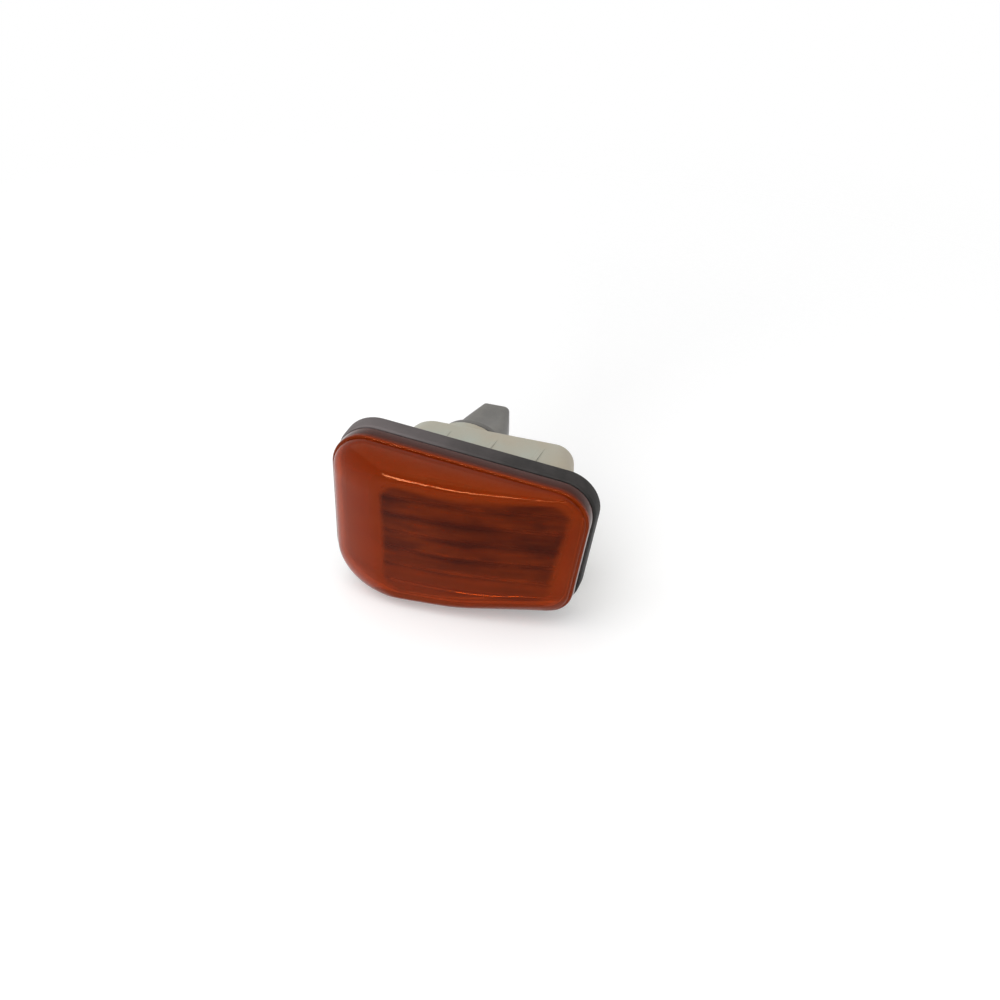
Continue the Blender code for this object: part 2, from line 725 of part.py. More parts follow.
def add_clip_seat(shell):
    """Moulded block with an undercut slot for the clip's inner leg and a barb for its window."""
    slot_half = CLIP_WIDTH / 2 + GAP
    block_half = slot_half + SEAT_SIDE
    slot_floor = seat_face()
    slot_top = slot_floor + CLIP_THICKNESS + 2 * GAP
    block_top = slot_top + SEAT_LIP
    root = right_wall_x(SEAT_BACK) - WALL / 2
    join(shell, box("guide_clip_seat", (root, SEAT_FRONT, -block_half), (block_top, SEAT_BACK, block_half)))
    cut(shell, box("guide_clip_slot", (slot_floor, SEAT_FRONT + WALL, -slot_half),
                   (slot_top, SEAT_BACK + WALL, slot_half)))
    mouth_half = slot_half - SEAT_LIP_OVERLAP
    cut(shell, box("guide_clip_mouth", (slot_top - GAP, SEAT_FRONT - WALL, -mouth_half),
                   (block_top + WALL, SEAT_BACK + WALL, mouth_half)))
    middle = (SEAT_FRONT + WALL + SEAT_BACK) / 2
    barb_half = CLIP_WINDOW / 2 - GAP
    ramp = [(slot_floor - GAP, middle - barb_half), (slot_floor + SEAT_BARB, middle - barb_half),
            (slot_floor + GAP, middle + barb_half), (slot_floor - GAP, middle + barb_half)]
    join(shell, loft("guide_clip_barb", [[(x, y, z) for x, y in ramp] for z in (-barb_half, barb_half)]))


def cut_twist_lock(shell, axis):
    """Bore for the holder, an end plate with notches for its lugs, and stops for the turn."""
    inside = BODY_DEPTH - 2 * WALL
    plate_front = BOSS_REAR - END_PLATE
    cut(shell, turned("guide_lock_bore", [(BOSS_BORE, inside), (BOSS_BORE, plate_front)], axis))
    barrel_hole = BARREL_RADIUS + GAP
    cut(shell, turned("guide_barrel_hole", [(barrel_hole, inside), (barrel_hole, BOSS_REAR + WALL)], axis))
    half = LUG_ANGLE / 2 + NOTCH_EASE
    notches = [(angle - TURN_ANGLE - half, angle - TURN_ANGLE + half) for angle in lug_angles()]
    cut(shell, sectors("guide_notches", notches, BARREL_RADIUS - WALL, LUG_RADIUS + GAP,
                       plate_front - GAP, BOSS_REAR + WALL, axis))
    stops = []
    for angle in lug_angles():
        locked = angle + LUG_ANGLE / 2 + STOP_EASE
        released = angle - TURN_ANGLE - LUG_ANGLE / 2 - STOP_EASE
        stops.append((locked, locked + STOP_ANGLE))
        stops.append((released - STOP_ANGLE, released))
    join(shell, sectors("guide_stops", stops, barrel_hole + GAP, BOSS_BORE + BOSS_WALL / 2,
                        LUG_FRONT, plate_front + END_PLATE / 2, axis, steps=2))


def lug_angles():
    return [math.pi / 2 + 2 * math.pi * lug / LUG_COUNT for lug in range(LUG_COUNT)]


def build_spring_clip(material):
    """Steel strip: a straight leg in the housing's slot, a hairpin, and a sprung arm with a knee."""
    leg = seat_face() + GAP + CLIP_THICKNESS / 2
    leg_front = SEAT_FRONT + WALL + GAP
    hairpin = SEAT_BACK + CLIP_HAIRPIN_OVERHANG
    arm = leg + SEAT_LIP + CLIP_THICKNESS + CLIP_ARM_GAP
    knee = leg + CLIP_KNEE_REACH + SEAT_LIP
    toe = arm - CLIP_TOE_TUCK
    points = [(leg, leg_front), (leg, hairpin), (arm, hairpin), (knee, CLIP_KNEE_Y), (toe, PANEL_THICKNESS + GAP)]
    radii = (CLIP_BEND_RADIUS, CLIP_BEND_RADIUS, CLIP_BEND_RADIUS)
    section = strip_section(rounded_path(points, radii), CLIP_THICKNESS)
    half = CLIP_WIDTH / 2
    clip = loft("spring_clip", [[(point.x, point.y, z) for point in section] for z in (-half, half)])
    middle = (SEAT_FRONT + WALL + SEAT_BACK) / 2
    window = CLIP_WINDOW / 2
    cut(clip, box("guide_clip_window", (leg - CLIP_THICKNESS, middle - window, -window),
                  (leg + CLIP_THICKNESS, middle + window, window)))
    return dress(clip, material)


def build_holder_body(material, axis):
    body = turned("holder_body", [
        (BARREL_RADIUS - HOLDER_EDGE, BARREL_FRONT),
        (BARREL_RADIUS, BARREL_FRONT + HOLDER_EDGE),
        (BARREL_RADIUS, HOLDER_FLANGE_FRONT),
        (HOLDER_FLANGE_RADIUS - HOLDER_EDGE, HOLDER_FLANGE_FRONT),
        (HOLDER_FLANGE_RADIUS, HOLDER_FLANGE_FRONT + HOLDER_EDGE),
        (HOLDER_FLANGE_RADIUS, HOLDER_FLANGE_REAR - HOLDER_EDGE),
        (HOLDER_FLANGE_RADIUS - HOLDER_EDGE, HOLDER_FLANGE_REAR),
    ], axis)
    half = LUG_ANGLE / 2
    sweeps = [(angle - half, angle + half) for angle in lug_angles()]
    join(body, sectors("guide_lugs", sweeps, BARREL_RADIUS - WALL / 2, LUG_RADIUS, LUG_FRONT, LUG_REAR, axis))
    join(body, build_grip(axis))
    join(body, build_latch(axis))
    pocket_x = BULB_WEDGE_WIDTH / 2 + GAP
    pocket_z = TERMINAL_PLANE + TERMINAL_THICKNESS / 2 + GAP
    cut(body, box("guide_bulb_pocket", (-pocket_x, BARREL_FRONT - WALL, -pocket_z),
                  (pocket_x, BULB_POCKET_END, pocket_z), axis))
    mouth = BULB_RADIUS + GAP
    cut(body, turned("guide_bulb_mouth", [(mouth, BARREL_FRONT - WALL), (mouth, BARREL_FRONT + WALL)], axis))
    plug_x = GRIP_TIP_X - PLUG_WALL
    plug_z = GRIP_TIP_Z - PLUG_WALL
    cut(body, box("guide_plug_pocket", (-plug_x, PLUG_FLOOR, -plug_z), (plug_x, GRIP_END + WALL, plug_z), axis))
    slot_x = TERMINAL_WIDTH / 2 + GAP
    slot_z = TERMINAL_THICKNESS / 2 + GAP
    for side, place in ((-1, "lower"), (1, "upper")):
        centre = side * BLADE_OFFSET
        cut(body, box(f"guide_blade_slot_{place}", (-slot_x, BULB_POCKET_END - WALL, centre - slot_z),
                      (slot_x, PLUG_FLOOR + WALL, centre + slot_z), axis))
    return dress(body, material)


def soft_box(half_x, half_z, corner, y, steps=BULB_STEPS):
    """Ring of a rounded rectangle about the Y axis, close to a circle when the corner is as large as it may be."""
    corner = min(corner, 0.99 * half_x, 0.99 * half_z)
    corners = ((half_x, half_z), (-half_x, half_z), (-half_x, -half_z), (half_x, -half_z))
    return at_plane(rounded_polygon(corners, [corner] * 4, steps=steps), y)


def build_grip(axis):
    """Finger grip that narrows in a hollow curve from the flange to the plug end."""
    start = HOLDER_FLANGE_REAR - HOLDER_FLANGE_THICKNESS / 2
    rings = [soft_box(GRIP_ROOT_X, GRIP_ROOT_Z, GRIP_ROOT_Z, start)]
    stations = 7
    for station in range(stations + 1):
        share = station / stations
        ease = math.sin(share * math.pi / 2) ** GRIP_HOLLOW
        half_x = GRIP_ROOT_X + (GRIP_TIP_X - GRIP_ROOT_X) * share
        half_z = GRIP_ROOT_Z + (GRIP_TIP_Z - GRIP_ROOT_Z) * ease
        corner = GRIP_ROOT_Z + (GRIP_CORNER - GRIP_ROOT_Z) * ease
        y = HOLDER_FLANGE_REAR + (GRIP_LENGTH - HOLDER_EDGE) * share
        rings.append(soft_box(half_x, half_z, corner, y))
    rings.append(soft_box(GRIP_TIP_X - HOLDER_EDGE, GRIP_TIP_Z - HOLDER_EDGE, GRIP_CORNER - HOLDER_EDGE, GRIP_END))
    return loft("guide_grip", rings, axis)


def build_latch(axis):
    """Ramped nose under the plug end that a plug snaps over."""
    near = GRIP_END - LATCH_LENGTH - LATCH_SETBACK
    far = near + LATCH_LENGTH
    root = GRIP_TIP_Z - PLUG_WALL / 2
    crest = GRIP_TIP_Z + LATCH_HEIGHT
    ramp = [(-root, near), (-crest, near), (-GRIP_TIP_Z, far), (-root, far)]
    half = LATCH_WIDTH / 2
    return loft("guide_latch", [[(x, y, z) for z, y in ramp] for x in (-half, half)], axis)


def build_holder_seal(material, axis):
    middle = SEAL_FRONT + SEAL_THICKNESS / 2
    half = SEAL_THICKNESS / 2
    centre = (SEAL_INNER + SEAL_OUTER) / 2
    steps = 12
    profile = []
    for step in range(steps):
        angle = 2 * math.pi * step / steps
        across = math.copysign(abs(math.cos(angle)) ** 0.7, math.cos(angle))
        along = math.copysign(abs(math.sin(angle)) ** 0.7, math.sin(angle))
        profile.append((centre + across * SEAL_WIDTH / 2, middle + along * half))
    return dress(turned("holder_seal", profile, axis, closed=True), material)


def build_terminal(name, side, material, axis):
    """Contact strip: a sprung arm beside the bulb's base, cranked through the floor to a plug blade."""
    start = BARREL_FRONT + WALL + GAP
    path = rounded_path([
        (start, TERMINAL_PLANE),
        (start + CONTACT_REACH, TERMINAL_PLANE - CONTACT_DIMPLE),
        (start + 2 * CONTACT_REACH, TERMINAL_PLANE),
        (BULB_POCKET_END - CRANK_LENGTH, TERMINAL_PLANE),
        (BULB_POCKET_END - GAP, BLADE_OFFSET),
        (GRIP_END - BLADE_SHORT, BLADE_OFFSET),
    ], (CONTACT_BEND, CONTACT_BEND, CRANK_BEND, CRANK_BEND), steps=3)
    section = strip_section(path, TERMINAL_THICKNESS)
    half = TERMINAL_WIDTH / 2
    rings = [[(x, point.x, side * point.y) for point in section] for x in (-half, half)]
    return dress(loft(name, rings, axis), material)


def build_bulb_glass(material, axis):
    """Glass envelope with a domed tip, pinched flat at its base, open only through its lead holes."""
    tip = BULB_BASE - BULB_LENGTH
    pinch_start = BULB_BASE - BULB_WEDGE_LENGTH - BULB_PINCH_BEFORE
    pinch_end = BULB_BASE - BULB_WEDGE_LENGTH + BULB_PINCH_AFTER
    wedge_x = BULB_WEDGE_WIDTH / 2
    wedge_z = BULB_WEDGE_THICKNESS / 2

    def envelope(radius, nose, shoulder):
        rings = []
        dome = 5
        for step in range(1, dome + 1):
            angle = math.pi / 2 * step / dome
            size = radius * math.sin(angle)
            rings.append(soft_box(size, size, size, nose + radius * (1 - math.cos(angle))))
        rings.append(soft_box(radius, radius, radius, shoulder))
        return rings

    rings = envelope(BULB_RADIUS, tip, pinch_start)
    for share in (0.3, 0.6, 0.85):
        ease = share * share * (3 - 2 * share)
        half_x = BULB_RADIUS + (wedge_x - BULB_RADIUS) * ease
        half_z = BULB_RADIUS + (wedge_z - BULB_RADIUS) * ease
        rings.append(soft_box(half_x, half_z, half_z, pinch_start + (pinch_end - pinch_start) * share))
    rings.append(soft_box(wedge_x, wedge_z, wedge_z * 0.8, pinch_end))
    rings.append(soft_box(wedge_x, wedge_z, wedge_z * 0.8, BULB_BASE - GAP))
    rings.append(soft_box(wedge_x - GAP, wedge_z - GAP, wedge_z * 0.6, BULB_BASE))
    glass = loft("bulb_glass", rings, axis)

    inner = BULB_RADIUS - BULB_GLASS
    rings = envelope(inner, tip + BULB_GLASS, pinch_start)
    hollow_end = BULB_BASE - BULB_WEDGE_LENGTH - BULB_PINCH_WEB
    for share in (0.35, 0.7, 1.0):
        ease = share * share * (3 - 2 * share)
        half_x = inner + (LEAD_SPREAD + 3 * LEAD_RADIUS - inner) * ease
        half_z = inner + (wedge_z * 0.6 - inner) * ease
        rings.append(soft_box(half_x, half_z, half_z, pinch_start + (hollow_end - pinch_start) * share))
    cut(glass, loft("guide_bulb_hollow", rings, axis))
    hole = LEAD_RADIUS + GAP
    for side, place in ((-1, "lower"), (1, "upper")):
        centre = side * LEAD_SPREAD
        rings = [[(x + centre, y, z) for x, y, z in circle(hole, y, 10)]
                 for y in (hollow_end - WALL / 2, BULB_BASE + WALL)]
        cut(glass, loft(f"guide_lead_hole_{place}", rings, axis))
    return dress(glass, material)


def wire(name, points, radius, material, parent):
    """Round wire along a list of points."""
    curve = bpy.data.curves.new(name, "CURVE")
    curve.dimensions = "3D"
    curve.bevel_depth = radius
    curve.bevel_resolution = 1
    curve.use_fill_caps = True
    spline = curve.splines.new("POLY")
    spline.points.add(len(points) - 1)
    for point, place in zip(spline.points, points):
        point.co = (*place, 1.0)
    curve.materials.append(material)
    return add_object(name, curve, parent)


def filament_end():
    return BULB_BASE - BULB_LENGTH + BULB_RADIUS + FILAMENT_SETBACK


def build_lead(name, side, material, axis):
    """Lead-in wire: hooked at the filament, through the pinched glass, and folded up beside the base."""
    x = side * LEAD_SPREAD
    below = BULB_BASE + GAP + LEAD_RADIUS
    turn = LEAD_TURN
    tip = filament_end() + FILAMENT_DROP
    points = [
        (side * FILAMENT_SPREAD, tip, 0.0),
        (side * (FILAMENT_SPREAD + LEAD_TURN / 4), tip + LEAD_HOOK, 0.0),
        (x, tip + LEAD_HOOK + LEAD_SPLAY, 0.0),
        (x, BULB_BASE - LEAD_HOOK, 0.0),
        (x, below - turn, 0.0),
        (x, below - turn * 0.3, side * turn * 0.3),
        (x, below, side * turn),
        (x, below, side * (LEAD_PLANE - turn)),
        (x, below - turn * 0.3, side * (LEAD_PLANE - turn * 0.3)),
        (x, below - turn, side * LEAD_PLANE),
        (x, BULB_BASE - LEAD_FOLD, side * LEAD_PLANE),
    ]
    return wire(name, points, LEAD_RADIUS, material, axis)


def build_filament(material, axis):
    """Fine coil hung in an arch between the two leads."""
    steps_per_turn = 8
    steps = FILAMENT_TURNS * steps_per_turn
    top = filament_end()
    points = []
    for step in range(steps + 1):
        share = step / steps
        turn = 2 * math.pi * FILAMENT_TURNS * share
        x = FILAMENT_SPREAD * (2 * share - 1)
        arch = FILAMENT_RISE * math.sin(math.pi * share)
        y = top - arch + FILAMENT_COIL_RADIUS * math.cos(turn)
        points.append((x, y, FILAMENT_COIL_RADIUS * math.sin(turn)))
    return wire("bulb_filament", points, FILAMENT_WIRE_RADIUS, material, axis)


def main():
    clear_scene()
    axis = add_object("holder_axis", None)
    axis.location = (HOLDER_X, 0.0, HOLDER_Z)

    amber = finish("amber_lens", (0.72, 0.10, 0.008), 0.12, alpha=0.6)
    pale = finish("pale_plastic", (0.56, 0.58, 0.50), 0.5)
    black = finish("black_rubber", (0.012, 0.012, 0.012), 0.7)
    zinc = finish("zinc_steel", (0.55, 0.47, 0.33), 0.35, metallic=1.0)
    grey = finish("grey_plastic", (0.17, 0.17, 0.16), 0.5)
    seal = finish("seal_rubber", (0.02, 0.02, 0.02), 0.6)
    brass = finish("brass_strip", (0.70, 0.52, 0.22), 0.3, metallic=1.0)
    glass = finish("clear_glass", (0.95, 0.97, 0.97), 0.03, alpha=0.3)
    tungsten = finish("tungsten", (0.25, 0.25, 0.26), 0.4, metallic=1.0)
    lead_metal = finish("lead_wire", (0.60, 0.58, 0.55), 0.3, metallic=1.0)

    build_lens(amber)
    build_housing(pale, axis)
    build_gasket(black)
    build_spring_clip(zinc)
    build_holder_body(grey, axis)
    build_holder_seal(seal, axis)
    build_terminal("terminal_upper", 1, brass, axis)
    build_terminal("terminal_lower", -1, brass, axis)
    build_bulb_glass(glass, axis)
    build_filament(tungsten, axis)
    build_lead("bulb_lead_upper", 1, lead_metal, axis)
    build_lead("bulb_lead_lower", -1, lead_metal, axis)


main()
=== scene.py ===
"""Looks of a fender turn signal lamp: amber lens, rubber gasket, moulded housing and bulb holder.

Metres, +Z up. The lens faces -Y and the fender's outer skin would lie at y = 0.
"""

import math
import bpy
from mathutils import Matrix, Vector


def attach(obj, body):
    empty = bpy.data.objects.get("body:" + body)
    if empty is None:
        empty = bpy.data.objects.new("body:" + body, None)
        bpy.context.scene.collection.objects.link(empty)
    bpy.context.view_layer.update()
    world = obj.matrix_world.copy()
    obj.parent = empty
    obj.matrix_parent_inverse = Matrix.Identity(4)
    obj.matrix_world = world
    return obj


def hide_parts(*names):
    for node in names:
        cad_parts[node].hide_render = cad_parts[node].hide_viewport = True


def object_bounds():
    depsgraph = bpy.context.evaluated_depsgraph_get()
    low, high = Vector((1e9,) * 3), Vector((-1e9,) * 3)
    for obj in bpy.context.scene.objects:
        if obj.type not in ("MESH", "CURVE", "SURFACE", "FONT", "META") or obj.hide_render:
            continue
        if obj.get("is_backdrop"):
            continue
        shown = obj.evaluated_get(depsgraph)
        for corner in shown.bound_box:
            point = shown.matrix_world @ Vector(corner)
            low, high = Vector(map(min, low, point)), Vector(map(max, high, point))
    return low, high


bl_info = {
    "name": "Fender turn signal lamp",
    "version": (1, 0, 0),
    "blender": (4, 5, 0),
    "location": "3D View > Sidebar > Lamp",
    "description": "Builds the lens, gasket, housing, clip and bulb holder of a fender turn signal lamp",
    "category": "Add Mesh",
}

import bmesh
import bpy
from bpy.props import FloatProperty, FloatVectorProperty, IntProperty, PointerProperty
from bpy.types import Operator, Panel, PropertyGroup
from mathutils import Vector

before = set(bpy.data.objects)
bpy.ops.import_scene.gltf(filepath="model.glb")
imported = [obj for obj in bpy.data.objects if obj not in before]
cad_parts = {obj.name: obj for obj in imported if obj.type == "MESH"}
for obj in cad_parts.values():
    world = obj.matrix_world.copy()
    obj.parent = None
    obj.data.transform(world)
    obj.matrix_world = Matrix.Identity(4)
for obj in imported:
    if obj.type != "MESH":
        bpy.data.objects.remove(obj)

# Steps along the curves, with extra points on the five sides of the lens outline
CORNER_STEPS = 14
SIDE_POINTS = (46, 8, 8, 34, 20)
ROUND_STEPS = 96
BOX_STEPS = 12
EDGE_STEPS = 5
REAR_EDGE_STEPS = 6
HOLDER_EDGE_STEPS = 4
SMALL_EDGE_STEPS = 3
BEVEL_STEPS = 20
CREASE_STEPS = 8
FACE_STEPS = 60
SECTOR_STEPS = 10
STOP_STEPS = 3
BEND_STEPS = 10
GRIP_STEPS = 24
SEAL_STEPS = 24
DOME_STEPS = 14
PINCH_STEPS = 10
BORE_STEPS = 16
# Steps in each turn of the filament's coil, and sides of its wire
COIL_STEPS = 14.0
WIRE_SIDES = 8

# Least radius of a corner that is moved in, and the most of a side that one corner's arc takes up
LEAST_RADIUS = 0.001
CORNER_ROOM = 0.48
# Most of the bevel's slant that the crease's fillet takes up, and how many radii down it starts
FILLET_ROOM = 0.4
FILLET_START = 1.6
# Roundest corner of a rounded rectangle, as a share of its lesser half side
ROUNDEST = 0.99
# How square the ring seal's section is: 1 is an ellipse, less is squarer
SEAL_SQUARENESS = 0.7
# Rounding of the skirt's rear edge, as a share of the rim's
LIP_SHARE = 0.4
# Corners of the bulb's pinched base, and half height of its hollow's end, as shares of its half thickness
PINCH_CORNER = 0.8
HOLLOW_HEIGHT = 0.6
# How far a cutter reaches past what it cuts
CUT_PAST = 0.002
# Width of the bevel on the spring clip's edges, and the least angle that gets one
CLIP_EDGE = 0.00008
CLIP_EDGE_ANGLE = math.radians(50)

# Heights between which the painted shade of the unlit bowl on the lens grows to its full strength
BOWL_SHADE_FOOT = (-0.017, -0.004)
# Depths behind the rim between which the lens takes its skirt's painted shade
SKIRT_SHADE = (0.0006, 0.0016)
# How far along the lamp the aged colour takes to come in fully
AGEING_RUN = 0.012
# Places along the lamp between which the painted sheen on the rubber fades out
SHEEN_RUN = (-0.03, 0.012)
# Distances from the origin between which the floor fades into the room
FLOOR_FADE = (0.12, 0.34)
# Space between the lamp and the floor
FLOOR_GAP = 0.00005
# How each set of scratches is turned, and how its noise is stretched
SCRATCH_WAYS = (((0.3, 0.5, 0.4), (0.08, 1.0, 1.0)), ((1.1, 0.2, 1.9), (1.0, 1.0, 0.07)))
# How far the scratches wander from straight
SCRATCH_DRIFT = (0.012, 0.012, 0.012)


# Short forms of the properties, which take sizes in millimetres and angles in degrees
def size(label, meaning, millimetres):
    return FloatProperty(name=label, description=meaning, default=millimetres / 1000,
                         unit="LENGTH", subtype="DISTANCE", precision=5)


def turn(label, meaning, degrees):
    return FloatProperty(name=label, description=meaning, default=math.radians(degrees),
                         unit="ROTATION", subtype="ANGLE")


def tint(label, meaning, colour):
    return FloatVectorProperty(name=label, description=meaning, default=colour, size=3,
                               subtype="COLOR", min=0.0, max=1.0)


def amount(label, meaning, value):
    return FloatProperty(name=label, description=meaning, default=value, min=0.0)


def number(label, meaning, value):
    return IntProperty(name=label, description=meaning, default=value, min=1)


class OutlineSizes(PropertyGroup):
    """Outline of the lens, as distances from the middle of the fender's cut-out."""
    left: size("Left", "Reach of the deep end", 35.6)
    right_top: size("Right top", "Reach of the shallow end at its upper corner", 34.6)
    right_foot: size("Right foot", "Reach of the shallow end at its lower corner", 28.7)
    top_left: size("Top left", "Height of the upper edge at the deep end", 24.1)
    top_right: size("Top right", "Height of the upper edge at the shallow end", 17.5)
    bottom_left: size("Bottom left", "Drop of the lower edge at the deep end", 23.4)
    bottom_bend: size("Bottom bend", "Drop of the lower edge where it bends", 22.5)
    bottom_right: size("Bottom right", "Drop of the lower edge at the shallow end", 18.9)
    bend_x: size("Bend place", "Where along the lamp the lower edge bends", 0.9)
    top_left_radius: size("Top left radius", "Rounding of the upper corner at the deep end", 10.0)
    bottom_left_radius: size("Bottom left radius", "Rounding of the lower corner at the deep end", 12.7)
    bend_radius: size("Bend radius", "Rounding of the bend in the lower edge", 80.0)
    bottom_right_radius: size("Bottom right radius", "Rounding of the lower corner at the shallow end",
                              8.0)
    top_right_radius: size("Top right radius", "Rounding of the upper corner at the shallow end", 9.0)


class LensSizes(PropertyGroup):
    """Depth, crease and flutes of the amber lens."""
    wall: size("Wall", "Thickness of the lens", 2.2)
    skirt_depth: size("Skirt depth", "Straight part of the side", 4.2)
    rim_shoulder: size("Rim shoulder", "Step from the rim to the foot of the bevel", 0.7)
    rim_edge: size("Rim edge", "Rounding of the rim", 0.5)
    face_left: size("Face height, left", "Height of the face over the rim at the deep end", 7.4)
    face_right: size("Face height, right", "Height of the face over the rim at the shallow end", 0.3)
    knee_x: size("Knee place", "Where the face starts to fall back", -1.0)
    knee_softness: size("Knee softness", "How gently the face starts to fall back", 8.0)
    crown: size("Crown", "Rise of the face in its middle", 0.6)
    bevel_end: turn("Bevel end", "Lean of the bevel where it meets the face", 60.0)
    crease_left: size("Crease, left", "Width of the bevel at the deep end", 13.5)
    crease_top_left: size("Crease, top left", "Width of the upper bevel at the deep end", 7.2)
    crease_top_right: size("Crease, top right", "Width of the upper bevel at the shallow end", 0.5)
    crease_right: size("Crease, right", "Width of the bevel at the shallow end", 2.4)
    crease_bottom: size("Crease, bottom", "Width of the lower bevel", 2.6)
    crease_radius: size("Crease corner", "Rounding of the face's corners", 5.5)
    crease_corner_low: size("Crease corner, low", "Rounding of the face's lower corner, deep end", 7.0)
    crease_corner_far: size("Crease corner, far", "Rounding of the face's upper corner, shallow end", 4.8)
    crease_fillet: size("Crease fillet", "Rounding across the crease", 1.2)
    flute_pitch: size("Flute pitch", "Height of one flute inside the face", 5.2)
    flute_height: size("Flute height", "How far a flute stands in", 1.1)
    flute_margin: size("Flute margin", "Plain border round the flutes", 1.2)
    flute_centre: size("Flute centre", "Height of the middle flute's centre", -1.2)


class GasketSizes(PropertyGroup):
    """Rubber ring between the lens and the fender."""
    thickness: size("Thickness", "Gap that it fills between lens and fender", 5.0)
    overhang: size("Overhang", "How far it stands out past the lens", 0.4)
    edge: size("Edge", "Rounding of its outer edges", 0.8)
    recess: size("Recess", "Depth of the relief round the housing", 0.7)
    recess_width: size("Recess width", "Width of the relief round the housing", 1.2)


class HousingSizes(PropertyGroup):
    """Moulded housing behind the lens."""
    gap: size("Gap", "Clearance between neighbouring pieces", 0.3)
    wall: size("Wall", "Thickness of the walls", 2.0)
    flange: size("Flange", "Thickness of the flange inside the lens", 1.6)
    margin_left: size("Margin, left", "From the lens outline to the body at the deep end", 7.0)
    margin_right: size("Margin, right", "From the lens outline to the body at the shallow end", 3.7)
    margin_top: size("Margin, top", "From the lens outline to the body above", 4.2)
    margin_bottom: size("Margin, bottom", "From the lens outline to the body below", 5.6)
    radius: size("Corner", "Rounding of the body's corners", 5.0)
    top_left_radius: size("Top left corner", "Rounding of the body's upper corner at the deep end", 8.5)
    straight: size("Straight", "Depth at which the walls start to lean in", 1.0)
    depth: size("Depth", "Reach of the body behind the fender's skin", 20.6)
    edge: size("Rear edge", "Rounding of the body's rear edge", 1.5)
    taper_left: size("Taper, left", "Lean of the wall at the deep end", 2.2)
    taper_right: size("Taper, right", "Lean of the wall at the shallow end", 5.6)
    taper_top: size("Taper, top", "Lean of the upper wall", 1.8)
    taper_bottom: size("Taper, bottom", "Lean of the lower wall", 2.6)
    rib_count: number("Ribs", "Locating ribs above, and as many below", 3)
    rib_height: size("Rib height", "How far a rib stands out at its front", 0.8)
    rib_width: size("Rib width", "Thickness of a rib", 1.2)
    rib_spacing: size("Rib spacing", "From one rib to the next", 13.0)
    panel: size("Panel", "Thickness of the fender's sheet", 0.9)
    hook_reach: size("Hook reach", "How far the hook stands out", 5.0)
    hook_thickness: size("Hook thickness", "Thickness of the hook", 2.4)
    hook_width: size("Hook width", "Width of the hook", 12.0)
    hook_lead: size("Hook lead", "Slope at the hook's tip", 1.4)
    gusset_thickness: size("Gusset thickness", "Thickness of the webs behind the hook", 1.6)
    gusset_length: size("Gusset length", "Length of the webs behind the hook", 5.5)
    seat_front: size("Seat front", "Front of the block that holds the clip", 4.6)
    seat_back: size("Seat back", "Rear of the block that holds the clip", 12.8)
    seat_stand: size("Seat stand", "How far the slot's floor stands off the wall", 0.2)
    seat_lip: size("Seat lip", "Thickness of the lips over the clip", 0.9)
    seat_overlap: size("Seat overlap", "How far the lips reach over the clip", 1.3)
    seat_side: size("Seat side", "Walls beside the clip's slot", 1.7)
    seat_barb: size("Seat barb", "Height of the barb in the clip's window", 0.9)
    boss_wall: size("Boss wall", "Wall of the round boss", 1.6)
    boss_depth: size("Boss depth", "How far the boss stands off the body", 2.0)
    end_plate: size("End plate", "Thickness of the plate that the holder locks behind", 1.6)


class ClipSizes(PropertyGroup):
    """Bent steel strip that springs out behind the fender."""
    thickness: size("Thickness", "Thickness of the strip", 0.7)
    width: size("Width", "Width of the strip", 8.0)
    knee_reach: size("Knee reach", "How far the knee springs out", 2.8)
    knee_y: size("Knee place", "Depth of the knee behind the fender's skin", 7.0)
    bend_radius: size("Bend radius", "Radius of each bend", 1.0)
    arm_gap: size("Arm gap", "Space between the two legs", 0.6)
    toe_tuck: size("Toe tuck", "How far the arm's end tucks in", 0.2)
    hairpin: size("Hairpin", "How far the bend stands behind its seat", 1.8)
    window: size("Window", "Side of the square hole for the barb", 3.0)


